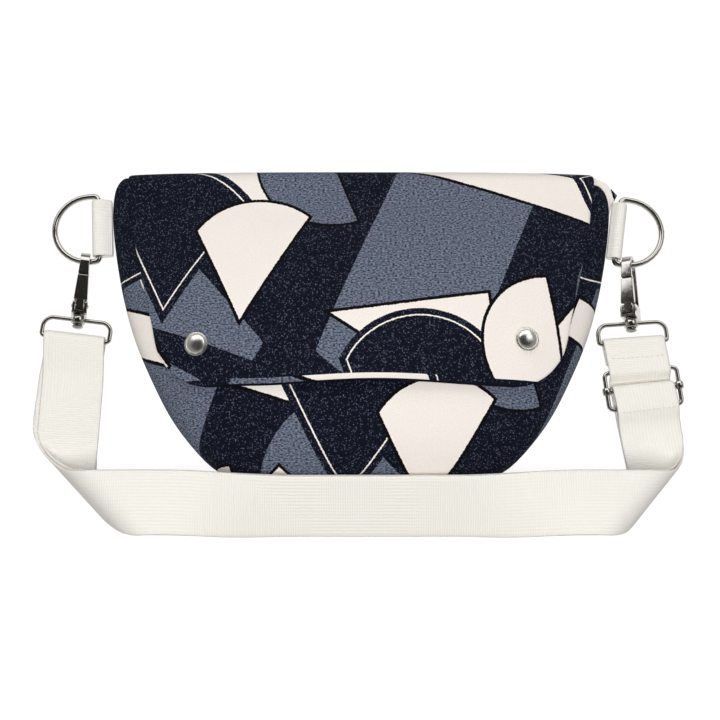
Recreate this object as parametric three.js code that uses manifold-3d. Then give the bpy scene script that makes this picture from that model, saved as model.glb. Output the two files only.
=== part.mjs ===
// A belt bag put down on its back: a soft cloth pouch under a snapped flap, with a clip-on webbing strap.
// Millimetres. +X runs right across the bag's front, +Y up the bag and +Z up out of its front.
import * as THREE from "three";
import Module from "manifold-3d";
import { mergeVertices } from "three/addons/utils/BufferGeometryUtils.js";

const wasm = await Module();
wasm.setup();

// Cloth and webbing
const GAP = 0.35;
const BACK_THICK = 2.0;
const FRONT_THICK = 2.0;
const FLAP_THICK = 2.6;
const FLAP_STAND_OFF = 2.2;
const WEBBING = 38.0;
const WEBBING_THICK = 1.7;
const LAYER_STEP = WEBBING_THICK + GAP;

// Body: a row for each level up the bag, with half its width and the front's height above the floor
const BODY = [
  { y: -95.5, half: 58, depth: 5 },
  { y: -93.5, half: 71, depth: 11 },
  { y: -91, half: 78, depth: 15.5 },
  { y: -86, half: 87.8, depth: 21 },
  { y: -75, half: 99.6, depth: 28 },
  { y: -58, half: 113.2, depth: 34 },
  { y: -38, half: 124.7, depth: 37.5 },
  { y: -8, half: 138.6, depth: 38 },
  { y: 20, half: 147.5, depth: 35 },
  { y: 50, half: 154, depth: 29 },
  { y: 75, half: 157.5, depth: 22.5 },
  { y: 86, half: 157.3, depth: 20.2 },
  { y: 92, half: 156, depth: 18 },
  { y: 97, half: 152, depth: 15 },
];
const FULLNESS = 2.6;
const FOOT = BACK_THICK + GAP;
const MOUTH_Y = 97;
const BACK_TOP_Y = 88;
// The back panel's upper right corner, which stands out past the front
const CORNER = [
  { x: 160, y: 84 },
  { x: 164, y: 91 },
  { x: 157, y: 99.5 },
  { x: 148.2, y: 104 },
];
const BODY_COLUMNS = 22;

// Flap: half its width at each level down the front, and the line of its top fold
const FLAP = [
  { y: -40.5, half: 88 },
  { y: -39.8, half: 96 },
  { y: -36.5, half: 104 },
  { y: -30, half: 112 },
  { y: -19, half: 119.5 },
  { y: 0, half: 124.5 },
  { y: 28, half: 132 },
  { y: 55, half: 139 },
  { y: 80, half: 143.5 },
  { y: 101, half: 147 },
];
const FOLD_Y = 101.5;
const FLAP_BACK_Y = BACK_TOP_Y + 0.5;
const FLAP_COLUMNS = 18;
const EDGE_RISE = 2.2;

// Snaps
const SNAPS = { left: { x: -95.8, y: -16.2 }, right: { x: 96.7, y: -13.4 } };
const CAP_RADIUS = 7.2;
const CAP_HEIGHT = 3.6;
const STUD_RADIUS = 5;

// Rings, tabs and clips: each side's level and turn down, the reach to the ring's bar, the clip's place round the
// ring with its lean and turn, the tilt of the loop under it, and the lean of the strap's run
const SIDES = [
  { name: "left", sign: -1, level: 66.5, droop: 4, reach: 9.1, contact: 8, lean: -3, swivel: -14, tilt: -7, run: -2 },
  { name: "right", sign: 1, level: 65, droop: 9, reach: 5.6, contact: 8.5, lean: -1, swivel: -27, tilt: 4, run: 9 },
];
const ANCHOR_X = 156;
const RING_Z = 8.6;
const RING_WIRE = 1.9;
const RING_HALF = 21.7;
const RING_LEG = 5.6;
const RING_CORNER = 2.5;
const TAB_ROOT_Z = 7.2;
const TAB_ROOT_HALF = 2.2;
const TAB_ROOT = 1.2;
const HOOK_EYE = 4.6;
const HOOK_STRIP = 2.6;
const HOOK_TOP = 33;
const HOOK_NOSE = 25;
const HOOK_WIDTH_TOP = 5.8;
const HOOK_WIDTH_BASE = 9.4;
const HOOK_BASE = 8;
const PIN_D = 4.4;
const PIN_V = 4.6;
const PIN_RADIUS = 1.0;
const PIN_LENGTH = 10.6;
const TONGUE_WIDTH = 4.6;
const GATE_TOP = 26.6;
const POST_RADIUS = 2.2;
const HEAD_RADIUS = 3.6;
const HEAD_FROM = -6.6;
const HEAD_TO = -8.8;
const LOOP_WIRE = 1.4;
const LOOP_HALF = 21;
const LOOP_TOP = -3.2;
const LOOP_HEIGHT = 12;
const LOOP_SHOULDER = 6;
const LOOP_CORNER = 1.9;
const RING_SLACK = 1.2;
const WIRE_AT = HOOK_TOP + HOOK_EYE - RING_WIRE - RING_SLACK;

// Slider on the right run, measured down the run from the loop's bar
const SLIDER_AT = 29;
const SLIDER_PITCH = 11.5;
const SLIDER_HALF = 22.3;
const SLIDER_WIRE = 1.4;
const SLIDER_CORNER = 3;
const SLIDER_Z = 7.3;
const COLLAR_RADIUS = 2.7;
const COLLAR_LENGTH = 4.2;

// Strap: two layers that lie on the floor beside the bag, fold over softly and cross in front of it
const RUN_Z = WEBBING_THICK / 2 + LAYER_STEP / 2 + GAP;
const FOLD_RADIUS = 13;
const BAND_Z = RUN_Z + 2 * FOLD_RADIUS;
const BAND_Y = -108.5;
const BAND_SETTLE = 2;
const BAND_MIDDLE_Z = 20;
const BAND_LEAN = THREE.MathUtils.degToRad(26);
const LEAN_LENGTH = 80;
const STRAP_COLUMNS = 5;
const LOOSE_SHIFT = 5;
const LOOSE_LENGTH = 80;
const TILT_LENGTH = 75;
// How far each fold leans over towards the bag
const ROLL = { left: 14.9, right: 6.5 };

const rad = THREE.MathUtils.degToRad;
const V = (x, y, z) => new THREE.Vector3(x, y, z);
const smooth = (t) => THREE.MathUtils.smoothstep(t, 0, 1);

// Smooth reading of a column of a table at a value of y.
function read(table, y, column) {
  const last = table.length - 1;
  let i = 0;
  while (i < last - 1 && y > table[i + 1].y) i += 1;
  const slope = (k) => {
    const a = table[Math.max(k - 1, 0)];
    const b = table[Math.min(k + 1, last)];
    return (b[column] - a[column]) / (b.y - a.y);
  };
  const a = table[i];
  const b = table[i + 1];
  const h = b.y - a.y;
  const t = THREE.MathUtils.clamp((y - a.y) / h, 0, 1);
  const t2 = t * t;
  const t3 = t2 * t;
  return (
    (2 * t3 - 3 * t2 + 1) * a[column] +
    (t3 - 2 * t2 + t) * h * slope(i) +
    (3 * t2 - 2 * t3) * b[column] +
    (t3 - t2) * h * slope(i + 1)
  );
}

// A closed sheet of one thickness round a grid of points.
function sheet(rows, thick) {
  const n = rows.length;
  const m = rows[0].length;
  const points = [];
  const normal = (i, j) => {
    const along = rows[Math.min(i + 1, n - 1)][j].clone().sub(rows[Math.max(i - 1, 0)][j]);
    const across = rows[i][Math.min(j + 1, m - 1)].clone().sub(rows[i][Math.max(j - 1, 0)]);
    return across.cross(along).normalize();
  };
  for (const side of [1, -1]) {
    for (let i = 0; i < n; i += 1) {
      for (let j = 0; j < m; j += 1) {
        const p = rows[i][j].clone().addScaledVector(normal(i, j), (side * thick) / 2);
        points.push(p.x, p.y, p.z);
      }
    }
  }
  const at = (side, i, j) => side * n * m + i * m + j;
  const faces = [];
  const quad = (a, b, c, d) => faces.push(a, b, c, a, c, d);
  for (let i = 0; i < n - 1; i += 1) {
    for (let j = 0; j < m - 1; j += 1) {
      quad(at(0, i, j), at(0, i, j + 1), at(0, i + 1, j + 1), at(0, i + 1, j));
      quad(at(1, i, j), at(1, i + 1, j), at(1, i + 1, j + 1), at(1, i, j + 1));
    }
    quad(at(0, i, 0), at(0, i + 1, 0), at(1, i + 1, 0), at(1, i, 0));
    quad(at(0, i, m - 1), at(1, i, m - 1), at(1, i + 1, m - 1), at(0, i + 1, m - 1));
  }
  for (let j = 0; j < m - 1; j += 1) {
    quad(at(0, 0, j), at(1, 0, j), at(1, 0, j + 1), at(0, 0, j + 1));
    quad(at(0, n - 1, j), at(0, n - 1, j + 1), at(1, n - 1, j + 1), at(1, n - 1, j));
  }
  return surface(points, faces);
}

function surface(points, faces) {
  const g = new THREE.BufferGeometry();
  g.setAttribute("position", new THREE.Float32BufferAttribute(points, 3));
  g.setIndex(faces);
  return g;
}

// A round wire along a closed flat path in the XY plane.
function wire(path, radius, sides) {
  const n = path.length;
  const points = [];
  const faces = [];
  for (let i = 0; i < n; i += 1) {
    const along = path[(i + 1) % n].clone().sub(path[(i + n - 1) % n]).normalize();
    const out = new THREE.Vector2(along.y, -along.x);
    for (let k = 0; k < sides; k += 1) {
      const a = ((k + 0.5) / sides) * 2 * Math.PI;
      const r = radius * Math.cos(a);
      points.push(path[i].x + out.x * r, path[i].y + out.y * r, radius * Math.sin(a));
      const next = (i + 1) % n;
      const k2 = (k + 1) % sides;
      faces.push(i * sides + k, next * sides + k, next * sides + k2);
      faces.push(i * sides + k, next * sides + k2, i * sides + k2);
    }
  }
  return surface(points, faces);
}

// Points round a corner, from one angle to another.
function arc(cx, cy, r, from, to, steps) {
  const out = [];
  for (let i = 0; i <= steps; i += 1) {
    const a = rad(from + ((to - from) * i) / steps);
    out.push(new THREE.Vector2(cx + r * Math.cos(a), cy + r * Math.sin(a)));
  }
  return out;
}

function roundedFrame(half, low, high, shoulder, corner, steps) {
  return [
    ...arc(half - shoulder, high - shoulder, shoulder, 0, 90, steps),
    ...arc(-half + shoulder, high - shoulder, shoulder, 90, 180, steps),
    ...arc(-half + corner, low + corner, corner, 180, 270, steps),
    ...arc(half - corner, low + corner, corner, 270, 360, steps),
  ];
}

function solid(geometry) {
  let g = geometry.index ? geometry.toNonIndexed() : geometry.clone();
  g.deleteAttribute("normal");
  g.deleteAttribute("uv");
  g = mergeVertices(g, 1e-4);
  return new wasm.Manifold(
    new wasm.Mesh({
      numProp: 3,
      vertProperties: new Float32Array(g.attributes.position.array),
      triVerts: new Uint32Array(g.index.array),
    }),
  );
}

function geometryOf(manifold) {
  const mesh = manifold.getMesh();
  return surface(Array.from(mesh.vertProperties), Array.from(mesh.triVerts));
}

const cylinder = (r, length, sides) => new THREE.CylinderGeometry(r, r, length, sides);
const block = (x0, x1, y0, y1, z0, z1) =>
  new THREE.BoxGeometry(x1 - x0, y1 - y0, z1 - z0).translate((x0 + x1) / 2, (y0 + y1) / 2, (z0 + z1) / 2);

const bag = new THREE.Group();
bag.name = "belt_bag";
const clothMaterial = new THREE.MeshStandardMaterial({ color: "#1b1e33", roughness: 0.9 });
const webbingMaterial = new THREE.MeshStandardMaterial({ color: "#ebe8df", roughness: 0.85 });
const metalMaterial = new THREE.MeshStandardMaterial({ color: "#c9cbd0", roughness: 0.25, metalness: 1 });

function add(parent, name, geometry, material) {
  const mesh = new THREE.Mesh(geometry, material.clone());
  mesh.name = name;
  parent.add(mesh);
  return mesh;
}

// Height of the front panel's outer face above the floor.
function frontHeight(x, y) {
  const level = Math.min(y, MOUTH_Y);
  const share = Math.min(Math.abs(x) / read(BODY, level, "half"), 1);
  const rise = (1 - share ** FULLNESS) ** (1 / FULLNESS);
  return FOOT + (read(BODY, level, "depth") - FOOT) * rise;
}

function frontNormal(x, y) {
  const e = 0.5;
  const dx = (frontHeight(x + e, y) - frontHeight(x - e, y)) / (2 * e);
  const dy = (frontHeight(x, y + e) - frontHeight(x, y - e)) / (2 * e);
  return V(-dx, -dy, 1).normalize();
}

// Back panel: flat, so that the bag lies on it.
{
  const outline = [];
  const steps = 14;
  for (let i = 0; i <= steps; i += 1) {
    const y = BODY[0].y + (BACK_TOP_Y - BODY[0].y) * (i / steps) ** 1.7;
    outline.push(new THREE.Vector2(read(BODY, y, "half"), y));
  }
  const mirrored = outline.map((p) => new THREE.Vector2(-p.x, p.y)).reverse();
  outline.splice(-1, 1, ...CORNER.map((p) => new THREE.Vector2(p.x, p.y)));
  outline.push(new THREE.Vector2(148.2, BACK_TOP_Y));
  const shape = new THREE.Shape([...outline, ...mirrored]);
  const g = new THREE.ExtrudeGeometry(shape, { depth: BACK_THICK, bevelEnabled: false });
  add(bag, "back_panel", g, clothMaterial);
}

// Front panel: a full, rounded shell that is open at the mouth.
{
  const rows = BODY.map((level) => {
    const row = [];
    for (let j = 0; j <= BODY_COLUMNS; j += 1) {
      const a = Math.PI * (1 - j / BODY_COLUMNS);
      const c = Math.cos(a);
      const s = Math.max(Math.sin(a), 0);
      const half = level.half - FRONT_THICK / 2;
      const depth = level.depth - FOOT - FRONT_THICK / 2;
      const x = half * Math.sign(c) * Math.abs(c) ** (2 / FULLNESS);
      row.push(V(x, level.y, FOOT + depth * s ** (2 / FULLNESS)));
    }
    return row;
  });
  add(bag, "front_panel", sheet(rows, FRONT_THICK), clothMaterial);
}

// Flap: from the back panel's top edge round the fold and down over the front.
const flapOffset = FLAP_STAND_OFF + FLAP_THICK / 2;
function flapPoint(x, y) {
  const p = V(x, y, frontHeight(x, y)).addScaledVector(frontNormal(x, y), flapOffset);
  const low = smooth((-10 - y) / 30);
  const lift = low * 1.6 * (1 - smooth(Math.abs(x - 8) / 75));
  p.y += low * EDGE_RISE * (1 - smooth(Math.abs(x - 12) / 70));
  p.z += lift;
  return p;
}
{
  const rows = [];
  const across = (f) => {
    const row = [];
    for (let j = 0; j <= FLAP_COLUMNS; j += 1) row.push(f((2 * j) / FLAP_COLUMNS - 1));
    return row;
  };
  const topHalf = FLAP[FLAP.length - 1].half;
  const backZ = FLAP_THICK / 2;
  const topOf = (x) => frontHeight(x, BACK_TOP_Y) + flapOffset;
  const turn = (x) => (topOf(x) - backZ) / 2;
  const centre = (x) => FOLD_Y - FLAP_THICK / 2 - turn(x);
  const frontLevels = [-40.5, -39.8, -38, -34, -27, -17, -5, 10, 25, 40, 55, 70, 82];
  for (const y of frontLevels) {
    rows.push(across((s) => flapPoint(s * read(FLAP, y, "half"), y)));
  }
  const turns = 8;
  for (let i = 0; i <= turns; i += 1) {
    const a = Math.PI * (0.5 - i / turns);
    rows.push(
      across((s) => {
        const x = s * topHalf;
        return V(x, centre(x) + turn(x) * Math.cos(a), backZ + turn(x) + turn(x) * Math.sin(a));
      }),
    );
  }
  rows.push(across((s) => V(s * topHalf, FLAP_BACK_Y, backZ)));
  add(bag, "flap", sheet(rows, FLAP_THICK), clothMaterial);
}

// Snaps: a domed cap on the flap and the closed stud between flap and front.
for (const side of SIDES) {
  const { x, y } = SNAPS[side.name];
  const foot = V(x, y, frontHeight(x, y));
  const up = frontNormal(x, y);
  const turn = new THREE.Quaternion().setFromUnitVectors(V(0, 1, 0), up);
  const dome = [
    new THREE.Vector2(0, 0),
    new THREE.Vector2(CAP_RADIUS, 0),
    new THREE.Vector2(CAP_RADIUS, 0.9),
  ];
  for (let i = 0; i <= 5; i += 1) {
    const a = (i / 5) * (Math.PI / 2);
    const r = (CAP_RADIUS - 1) * Math.cos(a);
    dome.push(new THREE.Vector2(i === 5 ? 0 : r, 1.1 + (CAP_HEIGHT - 1.1) * Math.sin(a)));
  }
  const cap = add(bag, `snap_cap_${side.name}`, new THREE.LatheGeometry(dome, 20), metalMaterial);
  cap.quaternion.copy(turn);
  cap.position.copy(foot).addScaledVector(up, FLAP_STAND_OFF + FLAP_THICK + 0.75);
  const disc = cylinder(STUD_RADIUS, FLAP_STAND_OFF - 1.2, 16);
  const stud = add(bag, `snap_stud_${side.name}`, disc, metalMaterial);
  stud.quaternion.copy(turn);
  stud.position.copy(foot).addScaledVector(up, FLAP_STAND_OFF / 2);
}

// A strip of the snap hook: its profile made as wide as the hook is at each level.
function taper(profile) {
  const g = new THREE.ExtrudeGeometry(profile, { depth: 1, bevelEnabled: false }).translate(0, 0, -0.5);
  const spots = g.attributes.position;
  for (let i = 0; i < spots.count; i += 1) {
    const share = THREE.MathUtils.clamp(spots.getY(i) / HOOK_TOP, 0, 1);
    spots.setZ(i, spots.getZ(i) * THREE.MathUtils.lerp(HOOK_WIDTH_BASE, HOOK_WIDTH_TOP, share));
  }
  return g;
}

// Ring, tab, hook, gate and loop of each side. The clip's own axes: X across, Y up the clip, Z up.
const runs = {};
for (const side of SIDES) {
  const { sign, name } = side;
  const droop = rad(side.droop);
  const out = V(sign * Math.cos(droop), -Math.sin(droop), 0);
  const up = V(sign * Math.sin(droop), Math.cos(droop), 0);
  const place = new THREE.Group();
  place.position.set(sign * ANCHOR_X, side.level, 0);
  place.rotation.z = -sign * droop;
  bag.add(place);

  const bar = side.reach;
  const ringPath = [
    ...arc(bar + RING_CORNER, RING_HALF - RING_CORNER, RING_CORNER, 180, 90, 3),
    ...arc(bar + RING_LEG, 0, RING_HALF, 90, -90, 20),
    ...arc(bar + RING_CORNER, -RING_HALF + RING_CORNER, RING_CORNER, 270, 180, 3),
  ];
  if (sign > 0) ringPath.reverse();
  const path = ringPath.map((p) => new THREE.Vector2(sign * p.x, p.y));
  const ring = wire(path, RING_WIRE, 10).translate(0, 0, RING_Z);
  add(place, `d_ring_${name}`, ring, metalMaterial);

  const fold = RING_WIRE + GAP + WEBBING_THICK;
  const section = new THREE.Shape([
    new THREE.Vector2(TAB_ROOT, TAB_ROOT_Z - TAB_ROOT_HALF),
    ...arc(bar, RING_Z, fold, -100, 100, 12),
    new THREE.Vector2(TAB_ROOT, TAB_ROOT_Z + TAB_ROOT_HALF),
  ]);
  section.holes.push(new THREE.Path(arc(bar, RING_Z, RING_WIRE + GAP, 0, 337.5, 15)));
  const strip = new THREE.ExtrudeGeometry(section, { depth: WEBBING, bevelEnabled: false });
  strip.translate(0, 0, -WEBBING / 2).rotateX(Math.PI / 2);
  if (sign < 0) strip.rotateY(Math.PI).rotateX(Math.PI);
  add(place, `tab_${name}`, strip, webbingMaterial);

  const c = rad(side.contact);
  const touch = V(sign * ANCHOR_X, side.level, RING_Z)
    .addScaledVector(out, bar + RING_LEG + RING_HALF * Math.sin(c))
    .addScaledVector(up, -RING_HALF * Math.cos(c));
  const lean = rad(side.lean);
  const clip = new THREE.Group();
  clip.rotation.z = lean;
  const axis = V(-Math.sin(lean), Math.cos(lean), 0);
  clip.position.copy(touch).addScaledVector(axis, -WIRE_AT);
  bag.add(clip);
  const turned = new THREE.Group();
  turned.rotation.y = sign * rad(side.swivel);
  clip.add(turned);

  // Hook: a strip bent over at the top, on a slotted base with a turning post below it.
  const outer = HOOK_EYE + HOOK_STRIP;
  const profile = new THREE.Shape([
    new THREE.Vector2(-outer, 0),
    new THREE.Vector2(outer - 0.6, 0),
    new THREE.Vector2(outer - 0.6, HOOK_BASE - 1),
    new THREE.Vector2(outer - 2.2, HOOK_BASE),
    new THREE.Vector2(-HOOK_EYE, HOOK_BASE),
    ...arc(0, HOOK_TOP, HOOK_EYE, 180, 0, 9),
    new THREE.Vector2(HOOK_EYE, HOOK_NOSE),
    new THREE.Vector2(outer, HOOK_NOSE),
    ...arc(0, HOOK_TOP, outer, 0, 180, 11),
  ]);
  const bent = taper(profile);
  const slotHalf = TONGUE_WIDTH / 2 + GAP;
  const slot = block(0.2, outer + 1, 1.2, HOOK_BASE + 1, -slotHalf, slotHalf);
  const pinHole = cylinder(PIN_RADIUS + 0.3, 20, 12).rotateX(Math.PI / 2).translate(PIN_D, PIN_V, 0);
  const post = new THREE.LatheGeometry(
    [
      new THREE.Vector2(0, HEAD_TO),
      new THREE.Vector2(HEAD_RADIUS - 0.5, HEAD_TO),
      new THREE.Vector2(HEAD_RADIUS, HEAD_TO + 0.6),
      new THREE.Vector2(HEAD_RADIUS, HEAD_FROM),
      new THREE.Vector2(POST_RADIUS, HEAD_FROM),
      new THREE.Vector2(POST_RADIUS, 0.6),
      new THREE.Vector2(0, 0.6),
    ],
    14,
  );
  const body = solid(bent).subtract(solid(slot)).subtract(solid(pinHole)).add(solid(post));
  // The strip's depth runs along Z, with its spine below and the gate on top.
  const upright = (g) => g.rotateY(-Math.PI / 2);
  add(turned, `hook_${name}`, upright(geometryOf(body)), metalMaterial);

  const gateFoot = HOOK_BASE + 0.6;
  const gateProfile = new THREE.Shape([
    new THREE.Vector2(PIN_D - 0.6, gateFoot),
    new THREE.Vector2(outer - 0.4, gateFoot),
    new THREE.Vector2(outer - 0.2, gateFoot + 4),
    new THREE.Vector2(outer - 0.4, HOOK_NOSE - 0.6),
    new THREE.Vector2(HOOK_EYE - 0.4, HOOK_NOSE - 0.6),
    new THREE.Vector2(HOOK_EYE - 0.4, GATE_TOP),
    new THREE.Vector2(HOOK_EYE - 1.8, GATE_TOP),
    new THREE.Vector2(HOOK_EYE - 1.8, gateFoot + 4),
  ]);
  const plate = taper(gateProfile);
  const tongueProfile = new THREE.Shape([
    new THREE.Vector2(PIN_D - 1.9, PIN_V - 2),
    new THREE.Vector2(PIN_D + 1.7, PIN_V - 2),
    new THREE.Vector2(outer - 0.8, gateFoot + 1),
    new THREE.Vector2(PIN_D - 0.6, gateFoot + 1),
  ]);
  const tongue = new THREE.ExtrudeGeometry(tongueProfile, { depth: TONGUE_WIDTH, bevelEnabled: false });
  tongue.translate(0, 0, -TONGUE_WIDTH / 2);
  const pin = cylinder(PIN_RADIUS, PIN_LENGTH, 12).rotateX(Math.PI / 2).translate(PIN_D, PIN_V, 0);
  const gate = solid(plate).add(solid(tongue)).add(solid(pin));
  add(turned, `gate_${name}`, upright(geometryOf(gate)), metalMaterial);

  // Loop: a wire frame with a boss, loose enough on the post to tilt with the strap.
  const tilt = rad(side.tilt);
  const hang = new THREE.Group();
  hang.position.copy(clip.position).addScaledVector(axis, LOOP_TOP);
  hang.rotation.z = tilt;
  bag.add(hang);
  const frame = wire(roundedFrame(LOOP_HALF, -LOOP_HEIGHT, 0, LOOP_SHOULDER, LOOP_CORNER, 4), LOOP_WIRE, 8);
  const boss = cylinder(4.4, 5.2, 16);
  const bore = cylinder(POST_RADIUS + 0.75, 12, 14);
  const loop = solid(frame).add(solid(boss)).subtract(solid(bore));
  add(hang, `loop_${name}`, geometryOf(loop), metalMaterial);

  const run = rad(side.run);
  runs[name] = {
    start: hang.position.clone().addScaledVector(V(Math.sin(tilt), -Math.cos(tilt), 0), LOOP_HEIGHT),
    down: V(Math.sin(run), -Math.cos(run), 0),
    across: V(Math.cos(run), Math.sin(run), 0),
    // The strap lies square to the loop at its bar and square to its own run farther down.
    turn: (g) => run + (tilt - run) * (1 - smooth(g / TILT_LENGTH)),
  };
}

// Slider: a rounded frame, and a bar across it on collars.
{
  const run = runs.right;
  const slider = new THREE.Group();
  slider.position.copy(run.start).addScaledVector(run.down, SLIDER_AT);
  slider.position.z = SLIDER_Z;
  slider.rotation.z = run.turn(SLIDER_AT);
  bag.add(slider);
  const frame = wire(
    roundedFrame(SLIDER_HALF, -SLIDER_PITCH, SLIDER_PITCH, SLIDER_CORNER, SLIDER_CORNER, 4),
    SLIDER_WIRE,
    8,
  );
  add(slider, "slider_frame", frame, metalMaterial);
  let bar = solid(cylinder(SLIDER_WIRE, 2 * SLIDER_HALF, 10).rotateZ(Math.PI / 2));
  for (const s of [-1, 1]) {
    bar = bar.add(solid(cylinder(COLLAR_RADIUS, COLLAR_LENGTH, 14).translate(s * SLIDER_HALF, 0, 0)));
  }
  for (const s of [-1, 1]) {
    const hole = cylinder(SLIDER_WIRE + GAP, COLLAR_LENGTH + 2, 12).translate(s * SLIDER_HALF, 0, 0);
    bar = bar.subtract(solid(hole));
  }
  add(slider, "slider_bar", geometryOf(bar), metalMaterial);
}

// Strap. A point of the flat strip, s along it and q across it, goes over the two soft folds.
// The height h is the layer's distance from the middle of the two layers.
const foldNormal = {
  left: V(-1, 0, 0).sub(runs.left.down.clone().negate()).normalize(),
  right: V(1, 0, 0).sub(runs.right.down.clone().negate()).normalize(),
};
// Where the strip's middle line starts to turn, so that it comes out along the run.
function foldStart(name) {
  const { start, down } = runs[name];
  const x = start.x + (down.x * (BAND_Y - start.y)) / down.y;
  return x - (Math.PI * FOLD_RADIUS) / 2 / foldNormal[name].x;
}
const FOLD_LEFT = foldStart("left");
const FOLD_RIGHT = foldStart("right");
function bandPoint(s, q, h) {
  const name = s < 0 ? "left" : "right";
  const n = foldNormal[name];
  const from = s < 0 ? FOLD_LEFT : FOLD_RIGHT;
  const t = (s - from) * n.x + q * n.y;
  const share = THREE.MathUtils.clamp((s - FOLD_LEFT) / (FOLD_RIGHT - FOLD_LEFT), 0, 1);
  const slide = THREE.MathUtils.lerp(ROLL.left, -ROLL.right, share);
  if (t > 0) {
    const p = V(s, BAND_Y + q, 0).addScaledVector(n, -t);
    const a = t / FOLD_RADIUS;
    if (a < Math.PI) {
      const layer = FOLD_RADIUS + h * (1 + 0.35 * Math.sin(a));
      p.addScaledVector(n, layer * Math.sin(a));
      p.x += slide * smooth((1 - a / Math.PI) / 0.6);
      p.z = RUN_Z + FOLD_RADIUS + layer * Math.cos(a);
      return p;
    }
    p.addScaledVector(n, -(t - Math.PI * FOLD_RADIUS));
    p.z = RUN_Z - h;
    return p;
  }
  const settle = smooth(Math.min((s - FOLD_LEFT - 24) / LEAN_LENGTH, (FOLD_RIGHT - 24 - s) / LEAN_LENGTH));
  const lean = BAND_LEAN * settle;
  const below = WEBBING / 2 - q;
  const topY = BAND_Y + WEBBING / 2 - BAND_SETTLE * settle;
  const topZ = THREE.MathUtils.lerp(BAND_Z, BAND_MIDDLE_Z, settle);
  const y = topY - below * Math.cos(lean) - h * Math.sin(lean);
  return V(s + slide, y, topZ - below * Math.sin(lean) + h * Math.cos(lean));
}
const across = (f) => {
  const row = [];
  for (let j = 0; j <= STRAP_COLUMNS; j += 1) row.push(f((j / STRAP_COLUMNS - 0.5) * WEBBING));
  return row;
};
// Where along the flat strip each run's own straight part starts, a little past its fold.
function runStart(name) {
  const n = foldNormal[name];
  const edge = (WEBBING / 2) * Math.abs(n.y);
  const from = name === "left" ? FOLD_LEFT : FOLD_RIGHT;
  return from + (Math.PI * FOLD_RADIUS + edge + 2) / n.x;
}
// Rows of a run from its hardware profile: distance down from the loop's bar, and height.
function runRows(name, profile) {
  const run = runs[name];
  const hand = name === "left" ? -1 : 1;
  return profile.map(([g, z]) =>
    across((q) => {
      const turn = run.turn(g);
      const side = V(Math.cos(turn), Math.sin(turn), 0);
      const p = run.start.clone().addScaledVector(run.down, g).addScaledVector(side, hand * q);
      p.z = z;
      return p;
    }),
  );
}
const WRAP = LOOP_WIRE + GAP + WEBBING_THICK / 2;
const wrapAround = (g, z, from, to, steps) =>
  arc(g, z, WRAP, from, to, steps).map((p) => [p.x, p.y]);

const strapRows = [];
const topRun = RUN_Z + LAYER_STEP / 2;
const lowRun = RUN_Z - LAYER_STEP / 2;
// Sewn end under the right loop's bar, over it and down through the slider, under its middle bar.
const rightTail = [
  ...[[13.5, RING_Z - 2.75], [7, RING_Z - 2.65]],
  ...wrapAround(0, RING_Z, 270, 90, 6),
  ...[[9, SLIDER_Z + WRAP + 0.7], [SLIDER_AT - SLIDER_PITCH - 2, SLIDER_Z + WRAP]],
  ...[[SLIDER_AT - SLIDER_PITCH + 2, SLIDER_Z + WRAP - 0.5], [SLIDER_AT - 6, 4.3]],
  ...[[SLIDER_AT, SLIDER_Z - WRAP - LAYER_STEP - 0.1], [SLIDER_AT + SLIDER_PITCH, 1.9]],
  ...[[SLIDER_AT + SLIDER_PITCH + 8, lowRun]],
];
strapRows.push(...runRows("right", rightTail));
const s0 = runStart("right");
const s1 = runStart("left");
// The lower layer of the left run lies a little farther out than the upper one.
function loosen(row) {
  const { start, down, across: side } = runs.left;
  for (const p of row) {
    const g = p.clone().sub(start).dot(down);
    const share = THREE.MathUtils.clamp(g / LOOSE_LENGTH, 0, 1);
    p.addScaledVector(side, -LOOSE_SHIFT * Math.sin(Math.PI * share) ** 2);
  }
  return row;
}
function bandRows(from, to, h) {
  const rows = [];
  const marks = [];
  const spread = (a, b, n) => {
    for (let i = 0; i < n; i += 1) marks.push(a + ((b - a) * i) / n);
  };
  spread(s0, FOLD_RIGHT - 18, 15);
  spread(FOLD_RIGHT - 18, 85, 3);
  spread(85, -75, 3);
  spread(-75, FOLD_LEFT + 18, 3);
  spread(FOLD_LEFT + 18, s1, 15);
  marks.push(s1);
  if (from < to) marks.reverse();
  for (const s of marks) {
    const row = across((q) => bandPoint(s, q, h));
    rows.push(h > 0 && s < FOLD_LEFT ? loosen(row) : row);
  }
  return rows;
}
strapRows.push(...bandRows(s0, s1, LAYER_STEP / 2));
// Up the left run on the floor, round the left loop's bar and back down on top.
const leftTurn = [
  ...[[24, lowRun], [9, RING_Z - WRAP - 0.9]],
  ...wrapAround(0, RING_Z, 270, 90, 6),
  ...[[9, RING_Z + WRAP - 2.4], [24, topRun + 0.4]],
];
strapRows.push(...runRows("left", leftTurn.slice(0, 2)).map(loosen));
strapRows.push(...runRows("left", leftTurn.slice(2)));
strapRows.push(...bandRows(s1, s0, -LAYER_STEP / 2));
// Up the right run on top, over the slider's low bar and round its middle bar to the sewn end.
const rightEnd = [
  ...[[SLIDER_AT + SLIDER_PITCH + 9, topRun + 1.6], [SLIDER_AT + SLIDER_PITCH + 1, SLIDER_Z + WRAP]],
  ...[[SLIDER_AT + 4, SLIDER_Z + WRAP + 0.1]],
  ...wrapAround(SLIDER_AT, SLIDER_Z, 90, 270, 6),
  ...[[SLIDER_AT + 5.5, SLIDER_Z - WRAP + 0.1]],
];
strapRows.push(...runRows("right", rightEnd));
add(bag, "strap", sheet(strapRows, WEBBING_THICK), webbingMaterial);

export default bag;
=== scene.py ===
# %% [markdown]
# # A belt bag laid on its back
#
# The bag is a soft pouch of woven patterned cloth. A flap folds over its mouth and is held by two snaps, and a
# webbing strap hangs on rings at its upper corners. The solids that carry it are loaded first, as a fixed frame.
# Each piece that is made here takes the place of one of those solids, and moves with the body it belongs to.

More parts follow.
